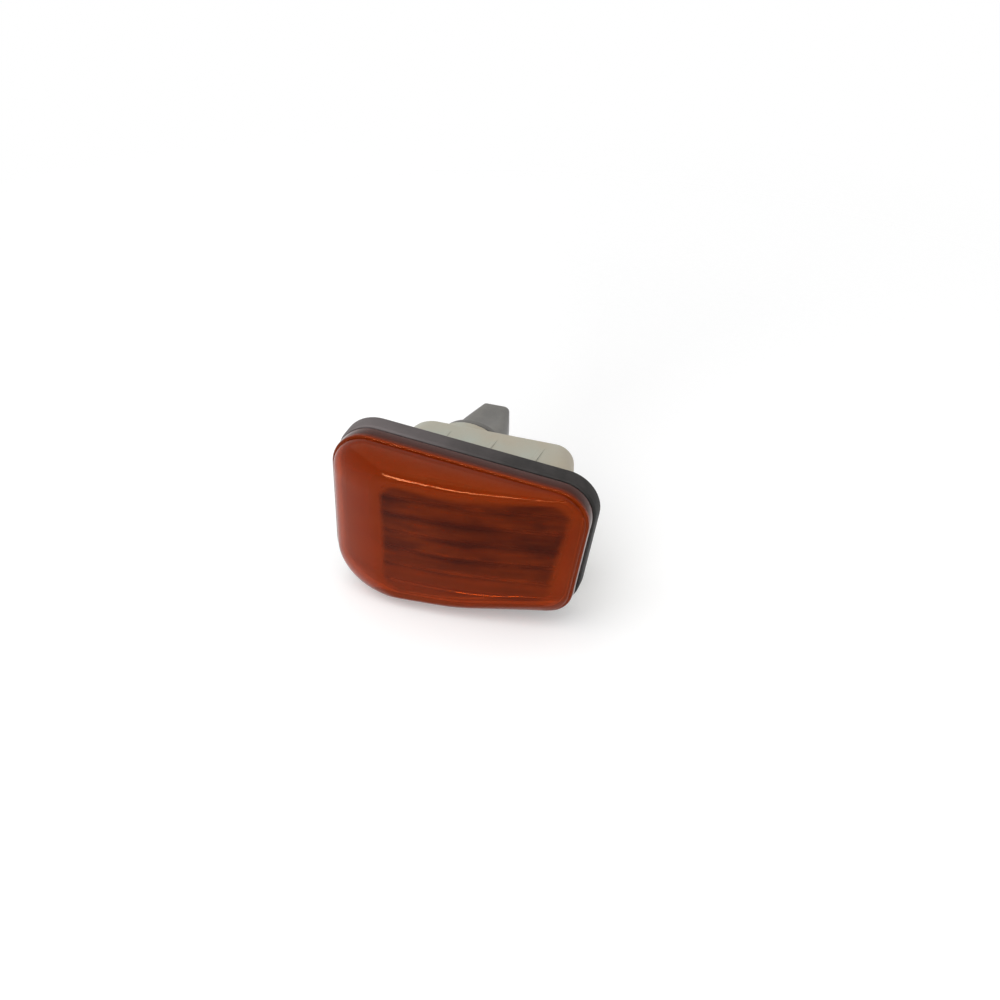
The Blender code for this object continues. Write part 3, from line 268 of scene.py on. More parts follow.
class HolderSizes(PropertyGroup):
    """Twist-in bulb holder with its seal, grip and plug pocket."""
    place: size("Place", "Where along the lamp its axis lies", -10.1)
    barrel_radius: size("Barrel radius", "Radius of the barrel", 7.8)
    barrel_length: size("Barrel length", "From the flange to the barrel's mouth", 15.0)
    lug_reach: size("Lug reach", "How far the locking lugs stand out", 2.0)
    lug_thickness: size("Lug thickness", "Thickness of a locking lug", 1.7)
    lug_angle: turn("Lug angle", "Width of a locking lug", 20.0)
    lug_count: number("Lugs", "Locking lugs round the barrel", 3)
    lug_clearance: size("Lug clearance", "Space round the lugs", 0.5)
    turn_angle: turn("Turn", "From locked to released", 40.0)
    notch_ease: turn("Notch ease", "Room beside a lug in its notch", 3.0)
    stop_ease: turn("Stop ease", "Room between a lug and its stop", 2.0)
    stop_angle: turn("Stop angle", "Width of a stop", 6.0)
    seal_thickness: size("Seal thickness", "Thickness of the ring seal", 1.2)
    seal_width: size("Seal width", "Width of the ring seal", 2.3)
    flange_lip: size("Flange lip", "How far the flange covers the seal", 0.3)
    flange_thickness: size("Flange thickness", "Thickness of the flange", 1.8)
    edge: size("Edge", "Rounding of its outer edges", 0.4)
    grip_length: size("Grip length", "From the flange to the plug end", 19.0)
    grip_root_x: size("Grip root, half width", "Half width at the flange", 9.6)
    grip_root_z: size("Grip root, half height", "Half height at the flange", 7.4)
    grip_tip_x: size("Grip tip, half width", "Half width at the plug end", 4.1)
    grip_tip_z: size("Grip tip, half height", "Half height at the plug end", 4.8)
    grip_corner: size("Grip corner", "Rounding at the plug end", 1.6)
    grip_hollow: amount("Grip hollow", "How quickly the grip narrows", 0.85)
    plug_wall: size("Plug wall", "Wall round the plug pocket", 1.2)
    plug_depth: size("Plug depth", "Depth of the plug pocket", 12.5)
    latch_width: size("Latch width", "Width of the nose that holds a plug", 3.0)
    latch_height: size("Latch height", "Height of the nose", 0.9)
    latch_length: size("Latch length", "Length of the nose", 3.6)
    latch_setback: size("Latch setback", "From the nose to the plug end", 1.4)
    terminal_thickness: size("Terminal thickness", "Thickness of a contact strip", 0.5)
    terminal_width: size("Terminal width", "Width of a contact strip", 2.6)
    blade_offset: size("Blade offset", "From the axis to a plug blade", 1.6)


class BulbSizes(PropertyGroup):
    """Wedge-base bulb."""
    radius: size("Radius", "Radius of the envelope", 5.15)
    length: size("Length", "Length over all", 26.8)
    wedge_length: size("Wedge length", "Length of the pinched base", 9.0)
    wedge_width: size("Wedge width", "Width of the pinched base", 9.5)
    wedge_thickness: size("Wedge thickness", "Thickness of the pinched base", 2.3)
    glass: size("Glass", "Thickness of the envelope", 0.7)
    pinch_before: size("Pinch start", "How far before the base the glass draws in", 3.0)
    pinch_after: size("Pinch end", "How far into the base the glass draws in", 1.0)
    pinch_web: size("Pinch web", "Solid glass between the hollow and the base", 0.4)
    pocket_floor: size("Pocket floor", "Space under the base", 0.6)
    lead_radius: size("Lead radius", "Radius of a lead wire", 0.25)
    lead_spread: size("Lead spread", "From the axis to a lead wire", 2.6)
    filament_spread: size("Filament spread", "Half the width of the filament", 2.2)
    filament_rise: size("Filament rise", "Height of the filament's arch", 1.6)
    filament_setback: size("Filament setback", "From the dome's centre to the filament's ends", 3.0)
    coil_radius: size("Coil radius", "Radius of the filament's coil", 0.4)
    wire_radius: size("Wire radius", "Radius of the filament's wire", 0.1)
    coil_turns: number("Coil turns", "Turns of the filament's coil", 18)


class FinishSettings(PropertyGroup):
    """Colours of the finishes."""
    amber: tint("Amber", "Lens in the light", (0.38, 0.045, 0.002))
    amber_flow: tint("Amber flow", "Lens in its flow marks", (0.32, 0.032, 0.0015))
    # Deep amber paints the shade of the unlit bowl behind the lens and the dark bands along and between the
    # flutes
    amber_painted_shade: tint("Deep amber", "Lens over the dark of the bowl", (0.055, 0.0012, 0.0005))
    # Skirt amber paints the shade on the lens's skirt, where it is seen edge on over the dark gasket
    amber_skirt_shade: tint("Skirt amber", "Lens where it is seen edge on", (0.10, 0.008, 0.003))
    amber_shine: tint("Amber shine", "Tint of the lens's reflections", (0.62, 0.22, 0.10))
    pale: tint("Pale plastic", "Housing", (0.40, 0.42, 0.355))
    pale_warm: tint("Warm pale plastic", "Housing where it has aged", (0.42, 0.365, 0.27))
    black: tint("Black rubber", "Gasket", (0.014, 0.013, 0.012))
    # This colour is a dull dusty coat in patches, and also paints a sheen on the gasket towards its deep
    # end
    bloom_and_sheen: tint("Rubber bloom", "Dusty film on the gasket", (0.15, 0.13, 0.13))
    grey: tint("Grey plastic", "Bulb holder", (0.120, 0.116, 0.107))
    seal: tint("Seal rubber", "Ring seal", (0.028, 0.026, 0.024))
    zinc: tint("Zinc", "Spring clip", (0.60, 0.52, 0.36))
    zinc_tint: tint("Zinc tint", "Passivated streaks on the clip", (0.52, 0.36, 0.24))
    brass: tint("Brass", "Contact strips", (0.72, 0.53, 0.24))
    brass_dull: tint("Dull brass", "Tarnish on the contact strips", (0.36, 0.24, 0.11))
    lead: tint("Lead wire", "Wires of the bulb", (0.58, 0.56, 0.53))
    glass: tint("Glass", "Envelope of the bulb", (0.95, 0.97, 0.97))
    tungsten: tint("Tungsten", "Filament", (0.20, 0.20, 0.22))
    dust: tint("Dust", "Settled dust", (0.42, 0.39, 0.34))


class StageSettings(PropertyGroup):
    """Camera, floor and light."""
    azimuth: turn("Azimuth", "Camera's turn to the right of the lens", 20.0)
    elevation: turn("Elevation", "Camera's height over the lens", 35.0)
    distance: size("Distance", "From the camera to the lamp", 400.0)
    field: turn("Field of view", "Angle across the picture", 35.98)
    shift_x: amount("Shift, right", "Share of the picture that the lamp stands left of the middle", 0.025)
    shift_y: amount("Shift, up", "Share of the picture that the lamp stands under the middle", 0.0116)
    floor_size: size("Floor", "Half the side of the floor", 4000.0)
    floor: tint("Floor colour", "Plain pale floor", (0.93, 0.93, 0.93))
    floor_lift: amount("Floor lift", "How much whiter the camera sees the floor", 0.14)
    sky: amount("Sky", "Level of the even light from all sides", 0.52)
    key: amount("Key light", "Power of the large soft light above", 7.0)
    fill: amount("Fill light", "Power of the soft light at the side", 1.0)
    strip: amount("Strip light", "Power of the low strip that lights the lens's crease", 7.0)


class LampSettings(PropertyGroup):
    """All the sizes and colours of the lamp."""
    outline: PointerProperty(type=OutlineSizes, name="Outline", description="Outline of the lens")
    lens: PointerProperty(type=LensSizes, name="Lens", description="Depth, crease and flutes")
    gasket: PointerProperty(type=GasketSizes, name="Gasket", description="Rubber ring")
    housing: PointerProperty(type=HousingSizes, name="Housing", description="Moulded housing")
    clip: PointerProperty(type=ClipSizes, name="Clip", description="Spring clip")
    holder: PointerProperty(type=HolderSizes, name="Holder", description="Bulb holder")
    bulb: PointerProperty(type=BulbSizes, name="Bulb", description="Wedge-base bulb")
    finish: PointerProperty(type=FinishSettings, name="Finishes", description="Colours")
    stage: PointerProperty(type=StageSettings, name="Stage", description="Camera, floor and light")


def arc_points(centre, start, angle, steps):
    """Points from start about the centre, through the angle."""
    arm = start - centre
    points = []
    for step in range(steps + 1):
        part = angle * step / steps
        points.append(centre + Vector((arm.x * math.cos(part) - arm.y * math.sin(part),
                                       arm.x * math.sin(part) + arm.y * math.cos(part))))
    return points


def signed_turn(before, after):
    """Angle from one direction to the next, positive anticlockwise."""
    return math.atan2(before.x * after.y - before.y * after.x, before.dot(after))


def rounded_polygon(corners, radii, insets=None, steps=CORNER_STEPS, side_points=None):
    """Outline in (x, z): each side moved in by its inset, each corner an arc of equal steps."""
    count = len(corners)
    insets = insets or [0.0] * count
    side_points = side_points or [0] * count
    points = [Vector(corner) for corner in corners]
    sides = [(points[(i + 1) % count] - points[i]).normalized() for i in range(count)]
    inward = [Vector((-side.y, side.x)) for side in sides]
    meeting = []
    for i in range(count):
        before = i - 1
        cross = sides[before].x * sides[i].y - sides[before].y * sides[i].x
        start = points[before] + inward[before] * insets[before]
        offset = points[i] + inward[i] * insets[i] - start
        along = (offset.x * sides[i].y - offset.y * sides[i].x) / cross
        meeting.append(start + sides[before] * along)
    arcs = []
    for i in range(count):
        angle = signed_turn(sides[i - 1], sides[i])
        lengths = [(meeting[i] - meeting[i - 1]).length, (meeting[(i + 1) % count] - meeting[i]).length]
        room = CORNER_ROOM * min(lengths)
        reach = min(radii[i] * math.tan(abs(angle) / 2), room)
        radius = reach / math.tan(abs(angle) / 2)
        start = meeting[i] - sides[i - 1] * reach
        centre = start + inward[i - 1] * math.copysign(radius, angle)
        arcs.append(arc_points(centre, start, angle, steps))
    outline = []
    for i in range(count):
        outline.extend(arcs[i])
        following = arcs[(i + 1) % count][0]
        extra = side_points[i]
        outline.extend(arcs[i][-1].lerp(following, (step + 1) / (extra + 1)) for step in range(extra))
    return outline


def at_plane(outline, y):
    """The (x, z) outline as a ring at one depth."""
    return [(point.x, y, point.y) for point in outline]


def circle(radius, y, steps=ROUND_STEPS):
    """Ring of a circle about the Y axis."""
    angles = [2 * math.pi * step / steps for step in range(steps)]
    return [(radius * math.cos(angle), y, radius * math.sin(angle)) for angle in angles]


def quarter(edge, steps=EDGE_STEPS):
    """Pairs (in, along) of a quarter round, from the side at (0, edge) to the end face at (edge, 0)."""
    pairs = []
    for step in range(steps + 1):
        angle = math.pi / 2 * step / steps
        pairs.append((edge * (1 - math.cos(angle)), edge * (1 - math.sin(angle))))
    return pairs


def closed_mesh(name, vertices, faces):
    """A mesh with its faces turned outwards."""
    build = bmesh.new()
    corners = [build.verts.new(vertex) for vertex in vertices]
    for face in faces:
        build.faces.new([corners[index] for index in face])
    bmesh.ops.recalc_face_normals(build, faces=build.faces)
    mesh = bpy.data.meshes.new(name)
    build.to_mesh(mesh)
    build.free()
    return mesh


def skin(name, rings, fans=(False, False), loop=False):
    """A solid through rings of equal point counts: its ends capped flat, fanned or joined in a loop."""
    count = len(rings[0])
    vertices = [tuple(point) for ring in rings for point in ring]
    faces = []
    for span in range(len(rings) if loop else len(rings) - 1):
        near = span * count
        far = (span + 1) % len(rings) * count
        for index in range(count):
            after = (index + 1) % count
            faces.append((near + index, near + after, far + after, far + index))
    if not loop:
        for start, fan in ((0, fans[0]), ((len(rings) - 1) * count, fans[1])):
            if not fan:
                faces.append(tuple(range(start, start + count)))
                continue
            ring = vertices[start:start + count]
            vertices.append(tuple(sum(point[axis] for point in ring) / count for axis in range(3)))
            hub = len(vertices) - 1
            faces.extend((start + index, start + (index + 1) % count, hub) for index in range(count))
    return closed_mesh(name, vertices, faces)


def block(name, low, high):
    """A plain box between two opposite corners."""
    corners = ((low[0], low[2]), (high[0], low[2]), (high[0], high[2]), (low[0], high[2]))
    return skin(name, [[(x, y, z) for x, z in corners] for y in (low[1], high[1])])


def prism(name, outline, low, high):
    """An (x, y) outline carried from one height to another."""
    return skin(name, [[(x, y, z) for x, y in outline] for z in (low, high)])


def lathe(name, profile, loop=False):
    """A round solid about its own Y axis, through (radius, y) pairs."""
    return skin(name, [circle(radius, y) for radius, y in profile], loop=loop)


def sectors(name, sweeps, inner, outer, front, back, steps=SECTOR_STEPS):
    """Ring sectors about the Y axis, one for each (start, end) angle."""
    section = ((inner, front), (outer, front), (outer, back), (inner, back))
    count = len(section)
    vertices = []
    faces = []
    for start, end in sweeps:
        base = len(vertices)
        for step in range(steps + 1):
            angle = start + (end - start) * step / steps
            for radius, y in section:
                vertices.append((radius * math.cos(angle), y, radius * math.sin(angle)))
        for step in range(steps):
            near = base + count * step
            for side in range(count):
                after = (side + 1) % count
                faces.append((near + side, near + after, near + count + after, near + count + side))
        for cap in (base, base + count * steps):
            faces.append(tuple(range(cap, cap + count)))
    return closed_mesh(name, vertices, faces)


def moved(mesh, x):
    """The mesh carried along X, such as to the holder's axis."""
    for vertex in mesh.vertices:
        vertex.co.x += x
    return mesh


def add_object(name, data):
    """A new object of the scene with that mesh, light or camera."""
    piece = bpy.data.objects.new(name, data)
    bpy.context.scene.collection.objects.link(piece)
    return piece


def bake_modifiers(piece):
    """Turns what the modifiers make into the piece's own mesh."""
    graph = bpy.context.evaluated_depsgraph_get()
    mesh = bpy.data.meshes.new_from_object(piece.evaluated_get(graph))
    piece.modifiers.clear()
    piece.data = mesh


def carve(name, base, steps):
    """Joins and cuts the base with each (operation, mesh) in turn."""
    piece = add_object(name, base)
    helpers = []
    for operation, mesh in steps:
        helper = add_object(mesh.name, mesh)
        modifier = piece.modifiers.new(mesh.name, "BOOLEAN")
        modifier.solver = "EXACT"
        modifier.operation = operation
        modifier.object = helper
        helpers.append(helper)
    bake_modifiers(piece)
    for helper in helpers:
        bpy.data.objects.remove(helper)
    return piece


def finish_piece(piece, material, body, replaced, sharp=32.0):
    """Shades a piece, gives it its finish, hangs it on its body and hides the part it stands for."""
    piece.data.materials.clear()
    piece.data.materials.append(material)
    piece.data.shade_smooth()
    piece.data.set_sharp_from_angle(angle=math.radians(sharp))
    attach(piece, body)
    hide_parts(replaced)


class Plan:
    """Planes, radii and outlines that follow from the sizes."""

    def __init__(self, lamp):
        outline = lamp.outline
        lens = lamp.lens
        housing = lamp.housing
        holder = lamp.holder
        bulb = lamp.bulb
        self.lamp = lamp
        self.gap = housing.gap

        # Depths from the lens to the plug end, and distances from the holder's axis
        self.skirt_rear = -(lamp.gasket.thickness + self.gap)
        self.rim_front = self.skirt_rear - lens.skirt_depth
        self.flange_front = self.skirt_rear - housing.flange
        self.boss_rear = housing.depth + housing.boss_depth
        self.plate_front = self.boss_rear - housing.end_plate
        self.lug_rear = self.plate_front - self.gap
        self.lug_front = self.lug_rear - holder.lug_thickness
        self.seal_front = self.boss_rear + self.gap
        self.flange_face = self.seal_front + holder.seal_thickness + self.gap
        self.flange_rear = self.flange_face + holder.flange_thickness
        self.barrel_front = self.flange_face - holder.barrel_length
        self.grip_end = self.flange_rear + holder.grip_length
        self.seal_inner = holder.barrel_radius + self.gap
        self.seal_outer = self.seal_inner + holder.seal_width
        self.flange_radius = self.seal_outer + holder.flange_lip
        self.lug_radius = holder.barrel_radius + holder.lug_reach
        self.boss_bore = self.lug_radius + holder.lug_clearance
        self.boss_radius = self.boss_bore + housing.boss_wall
        self.plug_floor = self.grip_end - holder.plug_depth
        self.bulb_base = self.barrel_front + bulb.wedge_length + bulb.pocket_floor
        self.bulb_tip = self.bulb_base - bulb.length
        self.pinch_start = self.bulb_base - bulb.wedge_length - bulb.pinch_before
        self.pocket_end = self.bulb_base + 2 * bulb.lead_radius + 2 * self.gap
        lead_plane = bulb.wedge_thickness / 2 + self.gap + bulb.lead_radius
        self.terminal_plane = lead_plane + bulb.lead_radius + self.gap + holder.terminal_thickness / 2

        # Outline of the lens, and reach of the housing's body to its four sides
        self.lens_corners = (
            (-outline.left, outline.top_left),
            (-outline.left, -outline.bottom_left),
            (outline.bend_x, -outline.bottom_bend),
            (outline.right_foot, -outline.bottom_right),
            (outline.right_top, outline.top_right),
        )
        self.lens_radii = (outline.top_left_radius, outline.bottom_left_radius, outline.bend_radius,
                           outline.bottom_right_radius, outline.top_right_radius)
        self.body_left = outline.left - housing.margin_left
        self.body_bottom = outline.bottom_right - housing.margin_bottom
        share = (outline.bottom_right - self.body_bottom) / (outline.bottom_right + outline.top_right)
        reach = outline.right_foot + share * (outline.right_top - outline.right_foot)
        self.body_right = reach - housing.margin_right
        fall = (outline.top_left - outline.top_right) / (outline.left + outline.right_top)
        self.body_top = outline.top_left - fall * (outline.left + self.body_right) - housing.margin_top

        # Slot of the clip's seat, and the clip's leg in it
        self.slot_half = lamp.clip.width / 2 + self.gap
        self.slot_floor = self.right_wall_x(housing.seat_front) + housing.seat_stand
        self.slot_top = self.slot_floor + lamp.clip.thickness + 2 * self.gap
        self.slot_start = housing.seat_front + housing.wall
        self.window_middle = (self.slot_start + housing.seat_back) / 2
        self.clip_leg = self.slot_floor + self.gap + lamp.clip.thickness / 2

    def lens_outline(self, inset, y):
        """Outline of the lens at a depth, moved in by the inset."""
        radii = [max(radius - inset, LEAST_RADIUS) for radius in self.lens_radii]
        insets = [inset] * len(radii)
        return at_plane(rounded_polygon(self.lens_corners, radii, insets, side_points=SIDE_POINTS), y)

    def taper_share(self, y):
        """How much of the walls' full lean is reached at a depth."""
        housing = self.lamp.housing
        return max(0.0, (y - housing.straight) / (housing.depth - housing.straight))

    def body_outline(self, inset, y):
        """Housing body at a depth, narrowed by its tapers towards the rear."""
        housing = self.lamp.housing
        tapers = (housing.taper_left, housing.taper_bottom, housing.taper_right, housing.taper_top)
        insets = [inset + taper * self.taper_share(y) for taper in tapers]
        corners = ((-self.body_left, self.body_top), (-self.body_left, -self.body_bottom),
                   (self.body_right, -self.body_bottom), (self.body_right, self.body_top))
        base = (housing.top_left_radius, housing.radius, housing.radius, housing.radius)
        radii = [max(radius - inset, LEAST_RADIUS) for radius in base]
        return at_plane(rounded_polygon(corners, radii, insets), y)

    def right_wall_x(self, y):
        """Where the body's wall at the shallow end stands at a depth."""
        return self.body_right - self.lamp.housing.taper_right * self.taper_share(y)

    def face_plane(self, x):
        """Depth of the lens face at x, level at the deep end and falling back from the knee."""
        lens = self.lamp.lens
        outline = self.lamp.outline

        def ramp(position):
            run = position - lens.knee_x
            return (math.hypot(run, lens.knee_softness) + run) / 2

        start = ramp(-outline.left)
        share = (ramp(x) - start) / (ramp(outline.right_top) - start)
        return self.rim_front - lens.face_left - (lens.face_right - lens.face_left) * share

    def crease_outline(self, inset):
        """Outline of the face, inside the bevel."""
        lens = self.lamp.lens
        outline = self.lamp.outline
        corners = (
            (-outline.left + lens.crease_left, outline.top_left - lens.crease_top_left),
            (-outline.left + lens.crease_left, -outline.bottom_left + lens.crease_bottom),
            (outline.bend_x, -outline.bottom_bend + lens.crease_bottom),
            (outline.right_foot - lens.crease_right, -outline.bottom_right + lens.crease_bottom),
            (outline.right_top - lens.crease_right, outline.top_right - lens.crease_top_right),
        )
        radii = (lens.crease_radius, lens.crease_corner_low, outline.bend_radius, lens.crease_radius,
                 lens.crease_corner_far)
        radii = [max(radius - inset, LEAST_RADIUS) for radius in radii]
        return rounded_polygon(corners, radii, [inset] * len(corners), side_points=SIDE_POINTS)

    def dome(self, foot, crease, offset, crown):
        """Rings from the foot up the bevel, round the crease and over the face to its middle."""
        lens = self.lamp.lens
        middle = sum(crease, Vector((0.0, 0.0))) / len(crease)

        def on_bevel(base, top, share):
            """A point on the arc from the foot to the crease."""
            angle = lens.bevel_end * share
            inward = (1 - math.cos(angle)) / (1 - math.cos(lens.bevel_end))
            forward = math.sin(angle) / math.sin(lens.bevel_end)
            return Vector((base[0] + (top.x - base[0]) * inward,
                           base[1] + (self.face_plane(top.x) + offset - base[1]) * forward,
                           base[2] + (top.y - base[2]) * inward))

        def on_face(top, share):
            """A point on the way from the middle of the face to the crease."""
            point = middle + (top - middle) * share
            rise = crown * (1 - share * share)
            return Vector((point.x, self.face_plane(point.x) + offset - rise, point.y))

        ends = []
        for base, top in zip(foot, crease):
            slant = (on_bevel(base, top, 1.0) - Vector(base)).length
            radius = min(lens.crease_fillet, FILLET_ROOM * slant)
            ends.append((1 - FILLET_START * radius / slant, 1 - radius / (top - middle).length))
        rings = []
        for step in range(1, BEVEL_STEPS + 1):
            rings.append([on_bevel(base, top, end[0] * step / BEVEL_STEPS)
                          for base, top, end in zip(foot, crease, ends)])
        for step in range(1, CREASE_STEPS):
            blend = step / CREASE_STEPS
            ring = []
            for base, top, end in zip(foot, crease, ends):
                low = on_bevel(base, top, end[0])
                peak = on_bevel(base, top, 1.0)
                high = on_face(top, end[1])
                ring.append(low * (1 - blend) ** 2 + peak * 2 * blend * (1 - blend) + high * blend ** 2)
            rings.append(ring)
        for step in range(FACE_STEPS):
            share = 1 - step / FACE_STEPS
            rings.append([on_face(top, end[1] * share) for top, end in zip(crease, ends)])
        return rings


def smooth_step(share):
    """Zero to one with a gentle start and end."""
    share = min(max(share, 0.0), 1.0)
    return share * share * (3 - 2 * share)


def lens_mesh(plan):
    """The lens as one closed wall, with each point's share in the flutes and in the bowl's painted shade.
    """
    lens = plan.lamp.lens
    rear = plan.skirt_rear
    lip = lens.rim_edge * LIP_SHARE
    crease = plan.crease_outline(0.0)
    foot = plan.lens_outline(lens.rim_shoulder, plan.rim_front)
    rings = plan.dome(foot, crease, 0.0, lens.crown)[::-1]
    rings.append(foot)
    rings += [plan.lens_outline(inset, plan.rim_front + along)
              for inset, along in quarter(lens.rim_edge)[::-1]]
    rings += [plan.lens_outline(inset, rear - along) for inset, along in quarter(lip, SMALL_EDGE_STEPS)]
    rings.append(plan.lens_outline(lens.wall, rear))
    inner_foot = plan.lens_outline(lens.wall, plan.rim_front + lens.wall - lens.rim_shoulder / 2)
    rings.append(inner_foot)
    inner_crease = plan.crease_outline(lens.wall / 2)
    inner = plan.dome(inner_foot, inner_crease, lens.wall, 0.0)
    rings += inner
    mesh = skin("amber_lens", rings, fans=(True, True))

    middle = sum(inner_crease, Vector((0.0, 0.0))) / len(inner_crease)
    reach = [(point - middle).length for point in inner_crease]
    count = len(inner_crease)
    first_inner = (len(rings) - len(inner)) * count
    outer_hub = len(rings) * count
    fluted = mesh.attributes.new("flute_mask", "FLOAT", "POINT")
    # The bowl_shade attribute says where the shade of the unlit bowl is painted onto the lens
    zone = mesh.attributes.new("bowl_shade", "FLOAT", "POINT")
    for vertex in mesh.vertices:
        place = (Vector((vertex.co.x, vertex.co.z)) - middle).length
        # Near the middle a point is well inside, also where it is a fan's hub
        inside = lens.wall
        if place > lens.wall:
            inside = reach[vertex.index % count] - place - lens.flute_margin
        zone.data[vertex.index].value = smooth_step(inside / lens.wall)
        if vertex.index >= first_inner and vertex.index != outer_hub:
            fluted.data[vertex.index].value = smooth_step(2 * inside / lens.flute_height)
    return mesh


def new_tree(name, inputs):
    """A Geometry Nodes tree with the mesh coming in and the named inputs after it."""
    tree = bpy.data.node_groups.new(name, "GeometryNodeTree")
    tree.interface.new_socket("Geometry", in_out="INPUT", socket_type="NodeSocketGeometry")
    for label, kind in inputs:
        tree.interface.new_socket(label, in_out="INPUT", socket_type=f"NodeSocket{kind}")
    tree.interface.new_socket("Geometry", in_out="OUTPUT", socket_type="NodeSocketGeometry")
    return tree


class Wires:
    """Short calls for adding and joining nodes in one tree."""

    def __init__(self, tree):
        self.tree = tree

    def add(self, kind, inputs=None, **settings):
        """A new node with its settings made and its inputs fed."""
        node = self.tree.nodes.new(kind)
        for key, value in settings.items():
            setattr(node, key, value)
        for key, value in (inputs or {}).items():
            self.feed(node.inputs[key], value)
        return node

    def feed(self, socket, value):
        """Joins another node's output to a socket, or sets a plain value on it."""
        if isinstance(value, bpy.types.NodeSocket):
            self.tree.links.new(value, socket)
        else:
            socket.default_value = value

    def maths(self, operation, *values, clamp=False):
        """The result of a sum on numbers."""
        node = self.add("ShaderNodeMath", operation=operation, use_clamp=clamp)
        for socket, value in zip(node.inputs, values):
            self.feed(socket, value)
        return node.outputs[0]

    def vector(self, operation, *values):
        """The result of a sum on vectors."""
        node = self.add("ShaderNodeVectorMath", operation=operation)
        for socket, value in zip(node.inputs, values):
            self.feed(socket, value)
        return node.outputs["Value" if operation in ("DOT_PRODUCT", "LENGTH") else "Vector"]

    def noise(self, coordinates, scale, detail=3.0, roughness=0.5, stretch=None):
        """Soft noise between zero and one, finer along an axis that is stretched more."""
        if stretch:
            coordinates = self.vector("MULTIPLY", coordinates, stretch)
        return self.add("ShaderNodeTexNoise", {"Vector": coordinates, "Scale": scale, "Detail": detail,
                                               "Roughness": roughness}).outputs["Fac"]

    def between(self, value, low, high, to_low=0.0, to_high=1.0):
        """Carries a value between low and high over to the range from to_low to to_high."""
        return self.add("ShaderNodeMapRange", {"Value": value, "From Min": low, "From Max": high,
                                               "To Min": to_low, "To Max": to_high}).outputs["Result"]

    def mix(self, share, first, second):
        """A blend of two colours, each another node's output or plain red, green and blue."""
        node = self.add("ShaderNodeMix", data_type="RGBA")
        self.feed(node.inputs[0], share)
        for socket, value in ((node.inputs[6], first), (node.inputs[7], second)):
            self.feed(socket, value if isinstance(value, bpy.types.NodeSocket) else (*value, 1.0))
        return node.outputs[2]

    def combine(self, x=0.0, y=0.0, z=0.0):
        """A vector from three numbers."""
        return self.add("ShaderNodeCombineXYZ", {"X": x, "Y": y, "Z": z}).outputs[0]


def end_tree(wires, geometry, material):
    """Realize Instances, Set Material and the tree's output."""
    realised = wires.add("GeometryNodeRealizeInstances", {"Geometry": geometry})
    dressed = wires.add("GeometryNodeSetMaterial",
                        {"Geometry": realised.outputs[0], "Material": material})
    wires.add("NodeGroupOutput", {"Geometry": dressed.outputs[0]})


def run_tree(piece, tree, values):
    """Runs a tree on a piece with its named inputs set, and keeps the result as the piece's mesh."""
    modifier = piece.modifiers.new(tree.name, "NODES")
    modifier.node_group = tree
    for item in tree.interface.items_tree:
        if item.in_out == "INPUT" and item.name in values:
            modifier[item.identifier] = values[item.name]
    bake_modifiers(piece)


def flute_wave(wires, height, centre, pitch):
    """One on the middle of a flute and zero between two flutes."""
    run = wires.maths("DIVIDE", wires.maths("SUBTRACT", height, centre), pitch)
    return wires.maths("ABSOLUTE", wires.maths("COSINE", wires.maths("MULTIPLY", run, math.pi)))


def flutes_tree():
    """Presses level flutes into the inside of the lens face, where the mask allows."""
    tree = new_tree("lens_flutes", (("Pitch", "Float"), ("Height", "Float"), ("Centre", "Float"),
                                    ("Material", "Material")))
    wires = Wires(tree)
    inputs = wires.add("NodeGroupInput").outputs
    position = wires.add("GeometryNodeInputPosition").outputs[0]
    place = wires.add("ShaderNodeSeparateXYZ", {0: position}).outputs["Z"]
    mask = wires.add("GeometryNodeInputNamedAttribute", {"Name": "flute_mask"},
                     data_type="FLOAT").outputs[0]
    wave = flute_wave(wires, place, inputs["Centre"], inputs["Pitch"])
    depth = wires.maths("MULTIPLY", wires.maths("MULTIPLY", wave, inputs["Height"]), mask)
    pressed = wires.add("GeometryNodeSetPosition", {"Geometry": inputs["Geometry"],
                                                    "Offset": wires.combine(y=depth)})
    end_tree(wires, pressed.outputs[0], inputs["Material"])
    return tree


def ribs_tree():
    """A row of leaning ribs along X, with the middle of the row at its start place."""
    tree = new_tree("locating_ribs", (("Count", "Int"), ("Spacing", "Float"), ("Size", "Vector"),
                                      ("Lean", "Float"), ("Start", "Vector"), ("Material", "Material")))
    wires = Wires(tree)
    inputs = wires.add("NodeGroupInput").outputs
    line = wires.add("GeometryNodeMeshLine", {"Count": inputs["Count"],
                                              "Offset": wires.combine(x=inputs["Spacing"])})
    gaps = wires.maths("SUBTRACT", inputs["Count"], 1.0)
    back = wires.maths("MULTIPLY", wires.maths("MULTIPLY", gaps, inputs["Spacing"]), -0.5)
    row = wires.add("GeometryNodeSetPosition", {"Geometry": line.outputs[0],
                                                "Offset": wires.combine(x=back)})
    rib = wires.add("GeometryNodeMeshCube", {"Size": inputs["Size"]})
    ribs = wires.add("GeometryNodeInstanceOnPoints",
                     {"Points": row.outputs[0], "Instance": rib.outputs[0],
                      "Rotation": wires.combine(x=inputs["Lean"])})
    placed = wires.add("GeometryNodeTransform", {"Geometry": ribs.outputs[0],
                                                 "Translation": inputs["Start"]})
    end_tree(wires, placed.outputs[0], inputs["Material"])
    return tree


